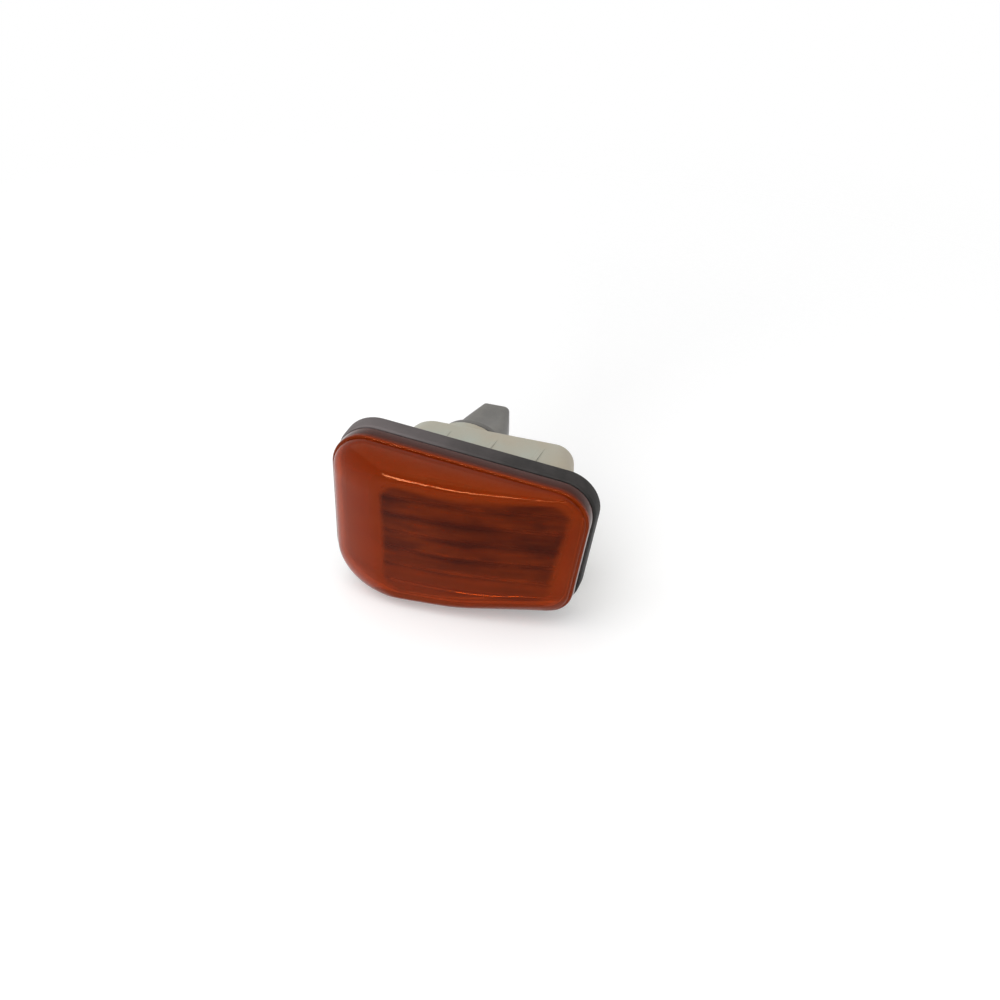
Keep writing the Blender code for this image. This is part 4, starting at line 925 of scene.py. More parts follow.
def coil_tree():
    """A coil hung in an arch along X, as round wire."""
    tree = new_tree("filament_coil", (("Turns", "Int"), ("Coil Radius", "Float"), ("Wire Radius", "Float"),
                                      ("Spread", "Float"), ("Rise", "Float"), ("Start", "Vector"),
                                      ("Material", "Material")))
    wires = Wires(tree)
    inputs = wires.add("NodeGroupInput").outputs
    steps = wires.maths("MULTIPLY", inputs["Turns"], COIL_STEPS)
    count = wires.maths("ADD", steps, 1.0)
    line = wires.add("GeometryNodeCurvePrimitiveLine")
    path = wires.add("GeometryNodeResampleCurve", {"Curve": line.outputs[0], "Count": count})
    share = wires.maths("DIVIDE", wires.add("GeometryNodeInputIndex").outputs[0], steps)
    angle = wires.maths("MULTIPLY", wires.maths("MULTIPLY", share, inputs["Turns"]), 2 * math.pi)
    side = wires.maths("SUBTRACT", wires.maths("MULTIPLY", share, 2.0), 1.0)
    along = wires.maths("MULTIPLY", side, inputs["Spread"])
    hump = wires.maths("SINE", wires.maths("MULTIPLY", share, math.pi))
    arch = wires.maths("MULTIPLY", hump, inputs["Rise"])
    curl = wires.maths("MULTIPLY", wires.maths("COSINE", angle), inputs["Coil Radius"])
    depth = wires.maths("SUBTRACT", curl, arch)
    height = wires.maths("MULTIPLY", wires.maths("SINE", angle), inputs["Coil Radius"])
    place = wires.vector("ADD", wires.combine(along, depth, height), inputs["Start"])
    coil = wires.add("GeometryNodeSetPosition", {"Geometry": path.outputs[0], "Position": place})
    ring = wires.add("GeometryNodeCurvePrimitiveCircle",
                     {"Resolution": WIRE_SIDES, "Radius": inputs["Wire Radius"]})
    wire = wires.add("GeometryNodeCurveToMesh",
                     {"Curve": coil.outputs[0], "Profile Curve": ring.outputs[0], "Fill Caps": True})
    end_tree(wires, wire.outputs[0], inputs["Material"])
    return tree


def moulded_grain(wires, inputs, outputs):
    """Fine spark-eroded grain of a mould with a slow waviness under it."""
    place = wires.add("ShaderNodeTexCoord").outputs["Object"]
    grain = wires.noise(place, inputs["Grain Scale"], detail=3.0, roughness=0.6)
    wave = wires.noise(place, 160.0, detail=2.0)
    share = wires.maths("MULTIPLY", grain, inputs["Grain Share"])
    rest = wires.maths("MULTIPLY", wave, wires.maths("SUBTRACT", 1.0, inputs["Grain Share"]))
    specks = wires.noise(place, 2600.0, detail=2.0)
    mottle = wires.noise(place, 70.0, detail=4.0, roughness=0.6)
    wires.feed(outputs["Height"], wires.maths("ADD", share, rest))
    wires.feed(outputs["Speckle"], wires.between(specks, 0.58, 0.72))
    wires.feed(outputs["Mottle"], wires.between(mottle, 0.35, 0.68))


def edge_wear(wires, inputs, outputs):
    """A mask of worn edges, broken up by noise, and the normal of a slightly rounded edge."""
    place = wires.add("ShaderNodeTexCoord").outputs["Object"]
    rounded = wires.add("ShaderNodeBevel", {"Radius": inputs["Radius"]}, samples=6).outputs[0]
    normal = wires.add("ShaderNodeNewGeometry").outputs["Normal"]
    bend = wires.maths("SUBTRACT", 1.0, wires.vector("DOT_PRODUCT", rounded, normal))
    edge = wires.between(bend, 0.01, 0.16)
    broken = wires.between(wires.noise(place, 420.0, detail=4.0, roughness=0.65), 0.36, 0.6)
    worn = wires.maths("MULTIPLY", edge, broken)
    wires.feed(outputs["Mask"], wires.maths("MULTIPLY", worn, inputs["Amount"], clamp=True))
    wires.feed(outputs["Normal"], rounded)


def settled_dust(wires, inputs, outputs):
    """A mask of dust on faces that look up, thicker in slow patches."""
    place = wires.add("ShaderNodeTexCoord").outputs["Object"]
    normal = wires.add("ShaderNodeNewGeometry").outputs["Normal"]
    facing = wires.between(wires.vector("DOT_PRODUCT", normal, (0.0, 0.0, 1.0)), 0.25, 1.0)
    patches = wires.between(wires.noise(place, 130.0, detail=5.0, roughness=0.62), 0.3, 0.75)
    specks = wires.between(wires.noise(place, 3000.0, detail=2.0), 0.62, 0.75, 0.0, 0.8)
    dust = wires.maths("MULTIPLY", facing, wires.maths("ADD", patches, specks))
    wires.feed(outputs["Mask"], wires.maths("MULTIPLY", dust, inputs["Amount"], clamp=True))


def fine_scratches(wires, inputs, outputs):
    """Thin scratches in two directions, as a mask."""
    place = wires.add("ShaderNodeTexCoord").outputs["Object"]
    drift = wires.add("ShaderNodeTexNoise", {"Vector": place, "Scale": 45.0}).outputs["Color"]
    place = wires.vector("ADD", place, wires.vector("MULTIPLY", drift, SCRATCH_DRIFT))
    total = 0.0
    for turned, stretch in SCRATCH_WAYS:
        spun = wires.add("ShaderNodeVectorRotate", {"Vector": place, "Rotation": turned},
                         rotation_type="EULER_XYZ").outputs[0]
        lines = wires.noise(spun, inputs["Scale"], detail=2.0, roughness=0.4, stretch=stretch)
        away = wires.maths("ABSOLUTE", wires.maths("SUBTRACT", lines, 0.5))
        total = wires.maths("ADD", total, wires.between(away, 0.0, 0.012, 1.0, 0.0))
    gate = wires.between(wires.noise(place, 90.0, detail=2.0), 0.5, 0.66)
    scratched = wires.maths("MULTIPLY", total, gate)
    wires.feed(outputs["Mask"], wires.maths("MULTIPLY", scratched, inputs["Amount"], clamp=True))


# Each shared effect with its inputs' usual values and its outputs' kinds
EFFECTS = {
    "moulded_grain": (moulded_grain, {"Grain Scale": 4000.0, "Grain Share": 0.6},
                      {"Height": "Float", "Speckle": "Float", "Mottle": "Float"}),
    "edge_wear": (edge_wear, {"Radius": 0.0003, "Amount": 0.5}, {"Mask": "Float", "Normal": "Vector"}),
    "settled_dust": (settled_dust, {"Amount": 0.3}, {"Mask": "Float"}),
    "fine_scratches": (fine_scratches, {"Scale": 260.0, "Amount": 0.5}, {"Mask": "Float"}),
}


def shader_group(name):
    """The shader node group of a shared effect, built the first time it is asked for."""
    if name in bpy.data.node_groups:
        return bpy.data.node_groups[name]
    fill, inputs, outputs = EFFECTS[name]
    tree = bpy.data.node_groups.new(name, "ShaderNodeTree")
    for label, value in inputs.items():
        socket = tree.interface.new_socket(label, in_out="INPUT", socket_type="NodeSocketFloat")
        socket.default_value = value
    for label, kind in outputs.items():
        tree.interface.new_socket(label, in_out="OUTPUT", socket_type=f"NodeSocket{kind}")
    wires = Wires(tree)
    fill(wires, wires.add("NodeGroupInput").outputs, wires.add("NodeGroupOutput").inputs)
    return tree


def new_material(name):
    """A new material with the wires of its nodes and its surface shader."""
    material = bpy.data.materials.new(name)
    material.use_nodes = True
    wires = Wires(material.node_tree)
    return material, wires, material.node_tree.nodes["Principled BSDF"]


def use_group(wires, name, **inputs):
    """The outputs of a shared effect that is placed in a material with its own values."""
    node = wires.add("ShaderNodeGroup", node_tree=shader_group(name))
    for key, value in inputs.items():
        wires.feed(node.inputs[key.replace("_", " ").title()], value)
    return node.outputs


def bump(wires, height, strength, distance, normal=None):
    """The normal of a surface that rises and falls with a height."""
    inputs = {"Height": height, "Strength": strength, "Distance": distance}
    if normal:
        inputs["Normal"] = normal
    return wires.add("ShaderNodeBump", inputs).outputs[0]


def shaded(colour, gain, lift=0.0):
    """A colour made darker or brighter."""
    return tuple(min(1.0, value * gain + lift) for value in colour)


def amber_acrylic(plan):
    """Clear amber plastic with painted shade over the bowl, on the flutes' flanks, between the flutes and
    on the skirt; faintly scratched.
    """
    finish = plan.lamp.finish
    lens = plan.lamp.lens
    material, wires, shader = new_material("amber_acrylic")
    place = wires.add("ShaderNodeTexCoord").outputs["Object"]
    axes = wires.add("ShaderNodeSeparateXYZ", {0: place}).outputs
    flow = wires.noise(place, 60.0, detail=3.0, roughness=0.55, stretch=(0.5, 1.0, 1.6))
    colour = wires.mix(wires.between(flow, 0.3, 0.7), finish.amber, finish.amber_flow)
    # Painted shade: the lens is darkened where the unlit bowl lies behind it, less towards the bottom and
    # in patches
    bowl = wires.add("ShaderNodeAttribute", attribute_name="bowl_shade").outputs["Fac"]
    low = wires.between(axes["Z"], *BOWL_SHADE_FOOT, 0.25, 1.0)
    patches = wires.noise(place, 110.0, detail=3.0, roughness=0.6, stretch=(0.5, 1.0, 2.2))
    patches = wires.between(patches, 0.32, 0.66, 0.35, 1.0)
    shade = wires.maths("MULTIPLY", wires.maths("MULTIPLY", bowl, low), patches)
    colour = wires.mix(shade, colour, finish.amber_painted_shade)
    # Painted shade: the flutes' leaning flanks and the roots between flutes are darkened like the dark
    # bands that refraction makes
    flutes = wires.add("ShaderNodeAttribute", attribute_name="flute_mask").outputs["Fac"]
    normal = wires.add("ShaderNodeNewGeometry").outputs["Normal"]
    lean = wires.maths("ABSOLUTE", wires.add("ShaderNodeSeparateXYZ", {0: normal}).outputs["Z"])
    flank_shade = wires.maths("MULTIPLY", wires.between(lean, 0.15, 0.5), flutes)
    wave = flute_wave(wires, axes["Z"], lens.flute_centre, lens.flute_pitch)
    root = wires.maths("MULTIPLY", wires.between(wave, 0.15, 0.75, 0.85, 0.0), shade)
    colour = wires.mix(wires.maths("MAXIMUM", flank_shade, root), colour, finish.amber_painted_shade)
    # Painted shade: the skirt behind the rim is darkened
    skirt = wires.between(axes["Y"], *(plan.rim_front + depth for depth in SKIRT_SHADE))
    colour = wires.mix(skirt, colour, finish.amber_skirt_shade)
    dust = use_group(wires, "settled_dust", amount=0.02)["Mask"]
    wires.feed(shader.inputs["Base Color"], wires.mix(dust, colour, finish.dust))
    scratches = use_group(wires, "fine_scratches", scale=700.0, amount=0.3)["Mask"]
    haze = wires.between(wires.noise(place, 340.0, detail=4.0), 0.3, 0.7, 0.04, 0.10)
    rough = wires.maths("ADD", haze, wires.maths("MULTIPLY", scratches, 0.25))
    wires.feed(shader.inputs["Roughness"], wires.maths("ADD", rough, wires.maths("MULTIPLY", dust, 0.5)))
    waves = wires.noise(place, 220.0, detail=2.0)
    wires.feed(shader.inputs["Normal"], bump(wires, waves, strength=0.06, distance=0.0001))
    shader.inputs["Transmission Weight"].default_value = 0.7
    shader.inputs["IOR"].default_value = 1.49
    shader.inputs["Specular IOR Level"].default_value = 0.2
    shader.inputs["Specular Tint"].default_value = (*finish.amber_shine, 1.0)
    return material


def moulded_plastic(name, colour, aged, dust_colour, roughness, wear_amount, dust_amount, aged_from=0.1):
    """Grained moulded plastic: aged in patches and past a place along the lamp, rubbed and dusty."""
    material, wires, shader = new_material(name)
    grain = use_group(wires, "moulded_grain", grain_scale=5200.0, grain_share=0.55)
    wear = use_group(wires, "edge_wear", radius=0.00035, amount=wear_amount)
    dust = use_group(wires, "settled_dust", amount=dust_amount)["Mask"]
    place = wires.add("ShaderNodeTexCoord").outputs["Object"]
    along = wires.add("ShaderNodeSeparateXYZ", {0: place}).outputs["X"]
    end = wires.between(along, aged_from, aged_from + AGEING_RUN)
    base = wires.mix(wires.maths("MAXIMUM", grain["Mottle"], end), colour, aged)
    speckle = wires.maths("MULTIPLY", grain["Speckle"], 0.35)
    base = wires.mix(speckle, base, shaded(colour, gain=0.72))
    base = wires.mix(wear["Mask"], base, shaded(colour, gain=1.35, lift=0.03))
    wires.feed(shader.inputs["Base Color"], wires.mix(dust, base, dust_colour))
    rough = wires.between(grain["Height"], 0.3, 0.7, roughness - 0.07, roughness + 0.08)
    rough = wires.maths("SUBTRACT", rough, wires.maths("MULTIPLY", wear["Mask"], 0.12))
    wires.feed(shader.inputs["Roughness"], wires.maths("ADD", rough, wires.maths("MULTIPLY", dust, 0.3)))
    grained = bump(wires, grain["Height"], strength=0.35, distance=0.00006, normal=wear["Normal"])
    wires.feed(shader.inputs["Normal"], grained)
    return material


def rubber(name, colour, bloom_and_sheen, dust_amount, sheen_end=0.0):
    """Soft black rubber: fine pores, dust on top, a dull dusty coat in patches, and a painted sheen of its
    colour that may thicken to the deep end.
    """
    material, wires, shader = new_material(name)
    place = wires.add("ShaderNodeTexCoord").outputs["Object"]
    grain = use_group(wires, "moulded_grain", grain_scale=3600.0, grain_share=0.75)
    wear = use_group(wires, "edge_wear", radius=0.00045, amount=0.35)
    dust = use_group(wires, "settled_dust", amount=dust_amount)["Mask"]
    patches = wires.noise(place, 110.0, detail=5.0, roughness=0.6, stretch=(1.0, 1.0, 0.5))
    along = wires.add("ShaderNodeSeparateXYZ", {0: place}).outputs["X"]
    # Dusty coat in patches, plus a painted sheen growing towards the deep end, plus lighter worn edges
    film_and_sheen = wires.maths("ADD", wires.between(patches, 0.42, 0.75, 0.0, 0.16),
                       wires.between(along, *SHEEN_RUN, sheen_end, 0.0))
    film_and_sheen = wires.maths("ADD", film_and_sheen, wires.maths("MULTIPLY", wear["Mask"], 0.5))
    wires.feed(shader.inputs["Base Color"], wires.mix(dust, wires.mix(film_and_sheen, colour, bloom_and_sheen), bloom_and_sheen))
    wires.feed(shader.inputs["Roughness"], wires.between(grain["Height"], 0.3, 0.7, 0.5, 0.74))
    pored = bump(wires, grain["Height"], strength=0.5, distance=0.00005, normal=wear["Normal"])
    wires.feed(shader.inputs["Normal"], pored)
    shader.inputs["Specular IOR Level"].default_value = 0.22
    return material


def worn_metal(name, colour, stain, roughness, lines, stain_share):
    """Drawn or plated metal: fine lines along one way, stained in patches, bright at its edges."""
    material, wires, shader = new_material(name)
    place = wires.add("ShaderNodeTexCoord").outputs["Object"]
    drawn = wires.noise(place, 3000.0, detail=3.0, roughness=0.6, stretch=lines)
    wear = use_group(wires, "edge_wear", radius=0.00015, amount=0.8)
    scratches = use_group(wires, "fine_scratches", scale=900.0, amount=0.6)["Mask"]
    patches = wires.noise(place, 300.0, detail=5.0, roughness=0.65)
    patches = wires.between(patches, 0.4, 0.66, 0.0, stain_share)
    bared = wires.maths("MAXIMUM", wear["Mask"], wires.maths("MULTIPLY", scratches, 0.5))
    base = wires.mix(bared, wires.mix(patches, colour, stain), shaded(colour, gain=1.3, lift=0.05))
    wires.feed(shader.inputs["Base Color"], base)
    rough = wires.between(drawn, 0.3, 0.7, roughness - 0.08, roughness + 0.1)
    wires.feed(shader.inputs["Roughness"], wires.maths("ADD", rough, wires.maths("MULTIPLY", patches, 0.2)))
    lined = bump(wires, drawn, strength=0.3, distance=0.00002, normal=wear["Normal"])
    wires.feed(shader.inputs["Normal"], lined)
    shader.inputs["Metallic"].default_value = 1.0
    return material


def bulb_glass(finish):
    """Thin clear glass with drawn waves and a trace of dust."""
    material, wires, shader = new_material("bulb_glass")
    place = wires.add("ShaderNodeTexCoord").outputs["Object"]
    waves = wires.noise(place, 260.0, detail=2.0, stretch=(1.0, 0.3, 1.0))
    dust = use_group(wires, "settled_dust", amount=0.08)["Mask"]
    wires.feed(shader.inputs["Base Color"], wires.mix(dust, finish.glass, finish.dust))
    wires.feed(shader.inputs["Roughness"], wires.between(waves, 0.3, 0.7, 0.01, 0.05))
    wires.feed(shader.inputs["Normal"], bump(wires, waves, strength=0.15, distance=0.0001))
    shader.inputs["Transmission Weight"].default_value = 1.0
    shader.inputs["IOR"].default_value = 1.5
    return material


class LAMP_OT_lens(Operator):
    """Build the amber lens with its crease and inner flutes"""
    bl_idname = "lamp.lens"
    bl_label = "Lens"

    def execute(self, context):
        lamp = context.scene.lamp
        plan = Plan(lamp)
        material = amber_acrylic(plan)
        piece = add_object("amber_lens", lens_mesh(plan))
        run_tree(piece, flutes_tree(), {
            "Pitch": lamp.lens.flute_pitch,
            "Height": lamp.lens.flute_height,
            "Centre": lamp.lens.flute_centre,
            "Material": material,
        })
        finish_piece(piece, material, "lamp", "lens", sharp=38.0)
        return {"FINISHED"}


class LAMP_OT_gasket(Operator):
    """Build the rubber gasket between lens and fender"""
    bl_idname = "lamp.gasket"
    bl_label = "Gasket"

    def execute(self, context):
        lamp = context.scene.lamp
        plan = Plan(lamp)
        sizes = lamp.gasket
        front = -sizes.thickness
        rings = [plan.lens_outline(inset - sizes.overhang, front + along)
                 for inset, along in quarter(sizes.edge)[::-1]]
        rings += [plan.lens_outline(inset - sizes.overhang, -along)
                  for inset, along in quarter(sizes.edge)]
        hole = skin("gasket_hole", [plan.body_outline(-plan.gap, y) for y in (front - CUT_PAST, CUT_PAST)])
        width = -(plan.gap + sizes.recess_width)
        relief = skin("gasket_relief", [
            plan.body_outline(width, -sizes.recess),
            plan.body_outline(width - sizes.recess, 0.0),
            plan.body_outline(width - sizes.recess, CUT_PAST),
        ])
        cuts = [("DIFFERENCE", cutter) for cutter in (hole, relief)]
        piece = carve("rubber_gasket", skin("rubber_gasket", rings), cuts)
        # The gasket's rubber gets a painted sheen at its deep end
        material = rubber("black_rubber", lamp.finish.black, lamp.finish.bloom_and_sheen,
                          dust_amount=0.12, sheen_end=0.8)
        finish_piece(piece, material, "lamp", "gasket")
        return {"FINISHED"}


def lug_angles(holder):
    """Where the locking lugs stand round the barrel, the first one on top."""
    return [math.pi / 2 + 2 * math.pi * lug / holder.lug_count for lug in range(holder.lug_count)]


def flange_and_boss(plan):
    """The flange inside the lens, and the round boss that the holder turns in."""
    housing = plan.lamp.housing
    rim = plan.lamp.lens.wall + plan.gap
    small_edge = quarter(plan.gap, SMALL_EDGE_STEPS)
    flange = [plan.lens_outline(rim, plan.skirt_rear)]
    flange += [plan.lens_outline(rim + inset, plan.flange_front + along) for inset, along in small_edge]
    boss = [(plan.boss_radius, housing.depth - housing.wall / 2)]
    boss += [(plan.boss_radius - inset, plan.boss_rear - along) for inset, along in small_edge]
    return [skin("flange", flange), moved(lathe("boss", boss), plan.lamp.holder.place)]


def hook_and_gussets(plan):
    """The hook at the deep end, with a web behind each of its sides."""
    housing = plan.lamp.housing
    near = housing.panel + plan.gap
    far = near + housing.hook_thickness
    tip = -plan.body_left - housing.hook_reach
    root = -plan.body_left + housing.wall
    half = housing.hook_width / 2
    tongue = [(root, near), (tip + housing.hook_lead, near), (tip, near + housing.hook_lead / 2),
              (tip, far), (root, far)]
    solids = [prism("hook", tongue, -half, half)]
    corner = far - housing.hook_thickness / 2
    web = [(root, corner), (tip + housing.hook_lead, corner), (root, far + housing.gusset_length)]
    for low in (-half, half - housing.gusset_thickness):
        solids.append(prism("gusset", web, low, low + housing.gusset_thickness))
    return solids


def clip_seat(plan):
    """The block at the shallow end that holds the clip."""
    housing = plan.lamp.housing
    root = plan.right_wall_x(housing.seat_back) - housing.wall / 2
    half = plan.slot_half + housing.seat_side
    return [block("clip_seat", (root, housing.seat_front, -half),
                  (plan.slot_top + housing.seat_lip, housing.seat_back, half))]


def housing_ribs(plan, material):
    """The two rows of locating ribs, as meshes made by the ribs tree."""
    housing = plan.lamp.housing
    tree = ribs_tree()
    length = housing.depth - housing.edge - housing.wall
    rows = []
    for side, surface, taper in ((1, plan.body_top, housing.taper_top),
                                 (-1, plan.body_bottom, housing.taper_bottom)):
        fall = taper * length / (housing.depth - housing.straight)
        lean = math.atan2(fall + housing.rib_height, length)
        middle = surface + (housing.rib_height - fall) / 2
        deep = housing.wall
        piece = add_object("ribs", bpy.data.meshes.new("ribs"))
        run_tree(piece, tree, {
            "Count": housing.rib_count,
            "Spacing": housing.rib_spacing,
            "Size": (housing.rib_width, length, deep),
            "Lean": -side * lean,
            "Start": (0.0, plan.gap + length / 2, side * (middle - deep / 2)),
            "Material": material,
        })
        mesh = piece.data
        bpy.data.objects.remove(piece)
        rows.append(mesh)
    return rows


def clip_seat_cuts(plan):
    """The clip's slot with its narrower mouth, and the barb that is put back for the clip's window."""
    housing = plan.lamp.housing
    floor = plan.slot_floor
    past = housing.seat_back + housing.wall
    slot = block("slot", (floor, plan.slot_start, -plan.slot_half), (plan.slot_top, past, plan.slot_half))
    half = plan.slot_half - housing.seat_overlap
    mouth = block("mouth", (plan.slot_top - plan.gap, housing.seat_front - housing.wall, -half),
                  (plan.slot_top + housing.seat_lip + housing.wall, past, half))
    half = plan.lamp.clip.window / 2 - plan.gap
    near = plan.window_middle - half
    far = plan.window_middle + half
    ramp = [(floor - plan.gap, near), (floor + housing.seat_barb, near), (floor + plan.gap, far),
            (floor - plan.gap, far)]
    return [("DIFFERENCE", slot), ("DIFFERENCE", mouth), ("UNION", prism("barb", ramp, -half, half))]


def bowl_cut(plan):
    """The reflector bowl, open to the front."""
    housing = plan.lamp.housing
    floor = housing.depth - housing.wall
    rings = [plan.body_outline(housing.wall, plan.flange_front - housing.wall),
             plan.body_outline(housing.wall, housing.straight)]
    rings += [plan.body_outline(housing.wall + inset, floor - along)
              for inset, along in quarter(housing.wall / 2)]
    return [("DIFFERENCE", skin("bowl", rings))]


def lock_cuts(plan):
    """The twist-lock: its bore, the barrel's hole, a notch for each lug, and the stops put back."""
    housing = plan.lamp.housing
    holder = plan.lamp.holder
    inside = housing.depth - 2 * housing.wall
    past = plan.boss_rear + housing.wall
    hole = holder.barrel_radius + plan.gap
    bore = lathe("lock_bore", [(plan.boss_bore, inside), (plan.boss_bore, plan.plate_front)])
    barrel_hole = lathe("barrel_hole", [(hole, inside), (hole, past)])
    half = holder.lug_angle / 2 + holder.notch_ease
    notches = []
    stops = []
    for angle in lug_angles(holder):
        notches.append((angle - holder.turn_angle - half, angle - holder.turn_angle + half))
        locked = angle + holder.lug_angle / 2 + holder.stop_ease
        released = angle - holder.turn_angle - holder.lug_angle / 2 - holder.stop_ease
        stops.append((locked, locked + holder.stop_angle))
        stops.append((released - holder.stop_angle, released))
    notch = sectors("notches", notches, holder.barrel_radius - housing.wall, plan.lug_radius + plan.gap,
                    plan.plate_front - plan.gap, past)
    stop = sectors("stops", stops, hole + plan.gap, plan.boss_bore + housing.boss_wall / 2,
                   plan.lug_front, plan.plate_front + housing.end_plate / 2, steps=STOP_STEPS)
    steps = (("DIFFERENCE", bore), ("DIFFERENCE", barrel_hole), ("DIFFERENCE", notch), ("UNION", stop))
    return [(operation, moved(mesh, holder.place)) for operation, mesh in steps]


class LAMP_OT_housing(Operator):
    """Build the moulded housing with its hook, ribs, clip seat and twist-lock"""
    bl_idname = "lamp.housing"
    bl_label = "Housing"

    def execute(self, context):
        lamp = context.scene.lamp
        plan = Plan(lamp)
        housing = lamp.housing
        finish = lamp.finish
        material = moulded_plastic("pale_plastic", finish.pale, finish.pale_warm, finish.dust,
                                   roughness=0.46, wear_amount=0.5, dust_amount=0.16, aged_from=0.008)
        rings = [plan.body_outline(0.0, plan.skirt_rear - housing.flange / 2),
                 plan.body_outline(0.0, housing.straight)]
        rings += [plan.body_outline(inset, housing.depth - along)
                  for inset, along in quarter(housing.edge, REAR_EDGE_STEPS)]
        joins = flange_and_boss(plan) + hook_and_gussets(plan) + clip_seat(plan)
        steps = [("UNION", mesh) for mesh in joins + housing_ribs(plan, material)]
        steps += clip_seat_cuts(plan) + bowl_cut(plan) + lock_cuts(plan)
        piece = carve("moulded_housing", skin("moulded_housing", rings), steps)
        finish_piece(piece, material, "lamp", "housing")
        return {"FINISHED"}


def bent_path(points, radius):
    """An open path with its inner corners rounded."""
    points = [Vector(point) for point in points]
    path = [points[0]]
    for i in range(1, len(points) - 1):
        before = (points[i] - points[i - 1]).normalized()
        angle = signed_turn(before, (points[i + 1] - points[i]).normalized())
        start = points[i] - before * radius * math.tan(abs(angle) / 2)
        centre = start + Vector((-before.y, before.x)) * math.copysign(radius, angle)
        path.extend(arc_points(centre, start, angle, BEND_STEPS))
    path.append(points[-1])
    return path


def strip_outline(path, thickness):
    """Closed outline of a bent strip: the path offset by half its thickness to both sides."""
    left = []
    right = []
    for i, point in enumerate(path):
        along = (path[min(i + 1, len(path) - 1)] - path[max(i - 1, 0)]).normalized()
        side = Vector((-along.y, along.x)) * thickness / 2
        left.append(tuple(point + side))
        right.append(tuple(point - side))
    return left + right[::-1]


def clip_strip(plan):
    """The clip's strip: along its seat, round the hairpin, out to the knee and in to the toe."""
    clip = plan.lamp.clip
    housing = plan.lamp.housing
    leg = plan.clip_leg
    hairpin = housing.seat_back + clip.hairpin
    arm = leg + housing.seat_lip + clip.thickness + clip.arm_gap
    knee = leg + clip.knee_reach + housing.seat_lip
    path = bent_path([(leg, plan.slot_start + plan.gap), (leg, hairpin), (arm, hairpin),
                      (knee, clip.knee_y), (arm - clip.toe_tuck, housing.panel + plan.gap)],
                     clip.bend_radius)
    return prism("sprung_clip", strip_outline(path, clip.thickness), -clip.width / 2, clip.width / 2)


def clip_window(plan):
    """Cutter of the square hole that the seat's barb stands in."""
    clip = plan.lamp.clip
    half = clip.window / 2
    return block("window", (plan.clip_leg - clip.thickness, plan.window_middle - half, -half),
                 (plan.clip_leg + clip.thickness, plan.window_middle + half, half))


class LAMP_OT_spring_clip(Operator):
    """Build the bent spring clip with its window"""
    bl_idname = "lamp.spring_clip"
    bl_label = "Spring clip"

    def execute(self, context):
        lamp = context.scene.lamp
        plan = Plan(lamp)
        piece = carve("sprung_clip", clip_strip(plan), [("DIFFERENCE", clip_window(plan))])
        bevel = piece.modifiers.new("edges", "BEVEL")
        bevel.width = CLIP_EDGE
        bevel.segments = 2
        bevel.limit_method = "ANGLE"
        bevel.angle_limit = CLIP_EDGE_ANGLE
        bake_modifiers(piece)
        material = worn_metal("zinc_steel", lamp.finish.zinc, lamp.finish.zinc_tint,
                              roughness=0.32, lines=(0.05, 0.05, 1.0), stain_share=0.6)
        finish_piece(piece, material, "lamp", "spring_clip")
        return {"FINISHED"}


def soft_box(half_x, half_z, corner, y):
    """Ring of a rounded rectangle about the Y axis."""
    corner = min(corner, ROUNDEST * half_x, ROUNDEST * half_z)
    corners = ((half_x, half_z), (-half_x, half_z), (-half_x, -half_z), (half_x, -half_z))
    return at_plane(rounded_polygon(corners, [corner] * 4, steps=BOX_STEPS), y)


def grip_mesh(plan):
    """Finger grip that narrows in a hollow curve from the flange to the plug end."""
    holder = plan.lamp.holder
    edge = holder.edge
    start = plan.flange_rear - holder.flange_thickness / 2
    rings = [soft_box(holder.grip_root_x, holder.grip_root_z, holder.grip_root_z, start)]
    for step in range(GRIP_STEPS + 1):
        share = step / GRIP_STEPS
        ease = math.sin(share * math.pi / 2) ** holder.grip_hollow
        half_x = holder.grip_root_x + (holder.grip_tip_x - holder.grip_root_x) * share
        half_z = holder.grip_root_z + (holder.grip_tip_z - holder.grip_root_z) * ease
        corner = holder.grip_root_z + (holder.grip_corner - holder.grip_root_z) * ease
        place = plan.flange_rear + (holder.grip_length - edge) * share
        rings.append(soft_box(half_x, half_z, corner, place))
    for inset, along in quarter(edge, HOLDER_EDGE_STEPS)[1:]:
        rings.append(soft_box(holder.grip_tip_x - inset, holder.grip_tip_z - inset,
                              holder.grip_corner - inset, plan.grip_end - along))
    return skin("grip", rings)


def barrel_mesh(plan):
    """The barrel and the flange, turned in one."""
    holder = plan.lamp.holder
    edge = quarter(holder.edge, HOLDER_EDGE_STEPS)
    profile = [(holder.barrel_radius - inset, plan.barrel_front + along) for inset, along in edge[::-1]]
    profile.append((holder.barrel_radius, plan.flange_face))
    profile += [(plan.flange_radius - inset, plan.flange_face + along) for inset, along in edge[::-1]]
    profile += [(plan.flange_radius - inset, plan.flange_rear - along) for inset, along in edge]
    return lathe("twist_holder", profile)


def latch_mesh(plan):
    """The nose under the grip that holds a plug."""
    holder = plan.lamp.holder
    near = plan.grip_end - holder.latch_length - holder.latch_setback
    far = near + holder.latch_length
    root = holder.grip_tip_z - holder.plug_wall / 2
    ramp = [(-root, near), (-holder.grip_tip_z - holder.latch_height, near), (-holder.grip_tip_z, far),
            (-root, far)]
    half = holder.latch_width / 2
    return skin("latch", [[(x, y, z) for z, y in ramp] for x in (-half, half)])


def holder_joins(plan):
    """Solids that are added to the barrel: the lugs, the grip and its latch."""
    holder = plan.lamp.holder
    half = holder.lug_angle / 2
    sweeps = [(angle - half, angle + half) for angle in lug_angles(holder)]
    lugs = sectors("lugs", sweeps, holder.barrel_radius - plan.lamp.housing.wall / 2, plan.lug_radius,
                   plan.lug_front, plan.lug_rear)
    return [lugs, grip_mesh(plan), latch_mesh(plan)]


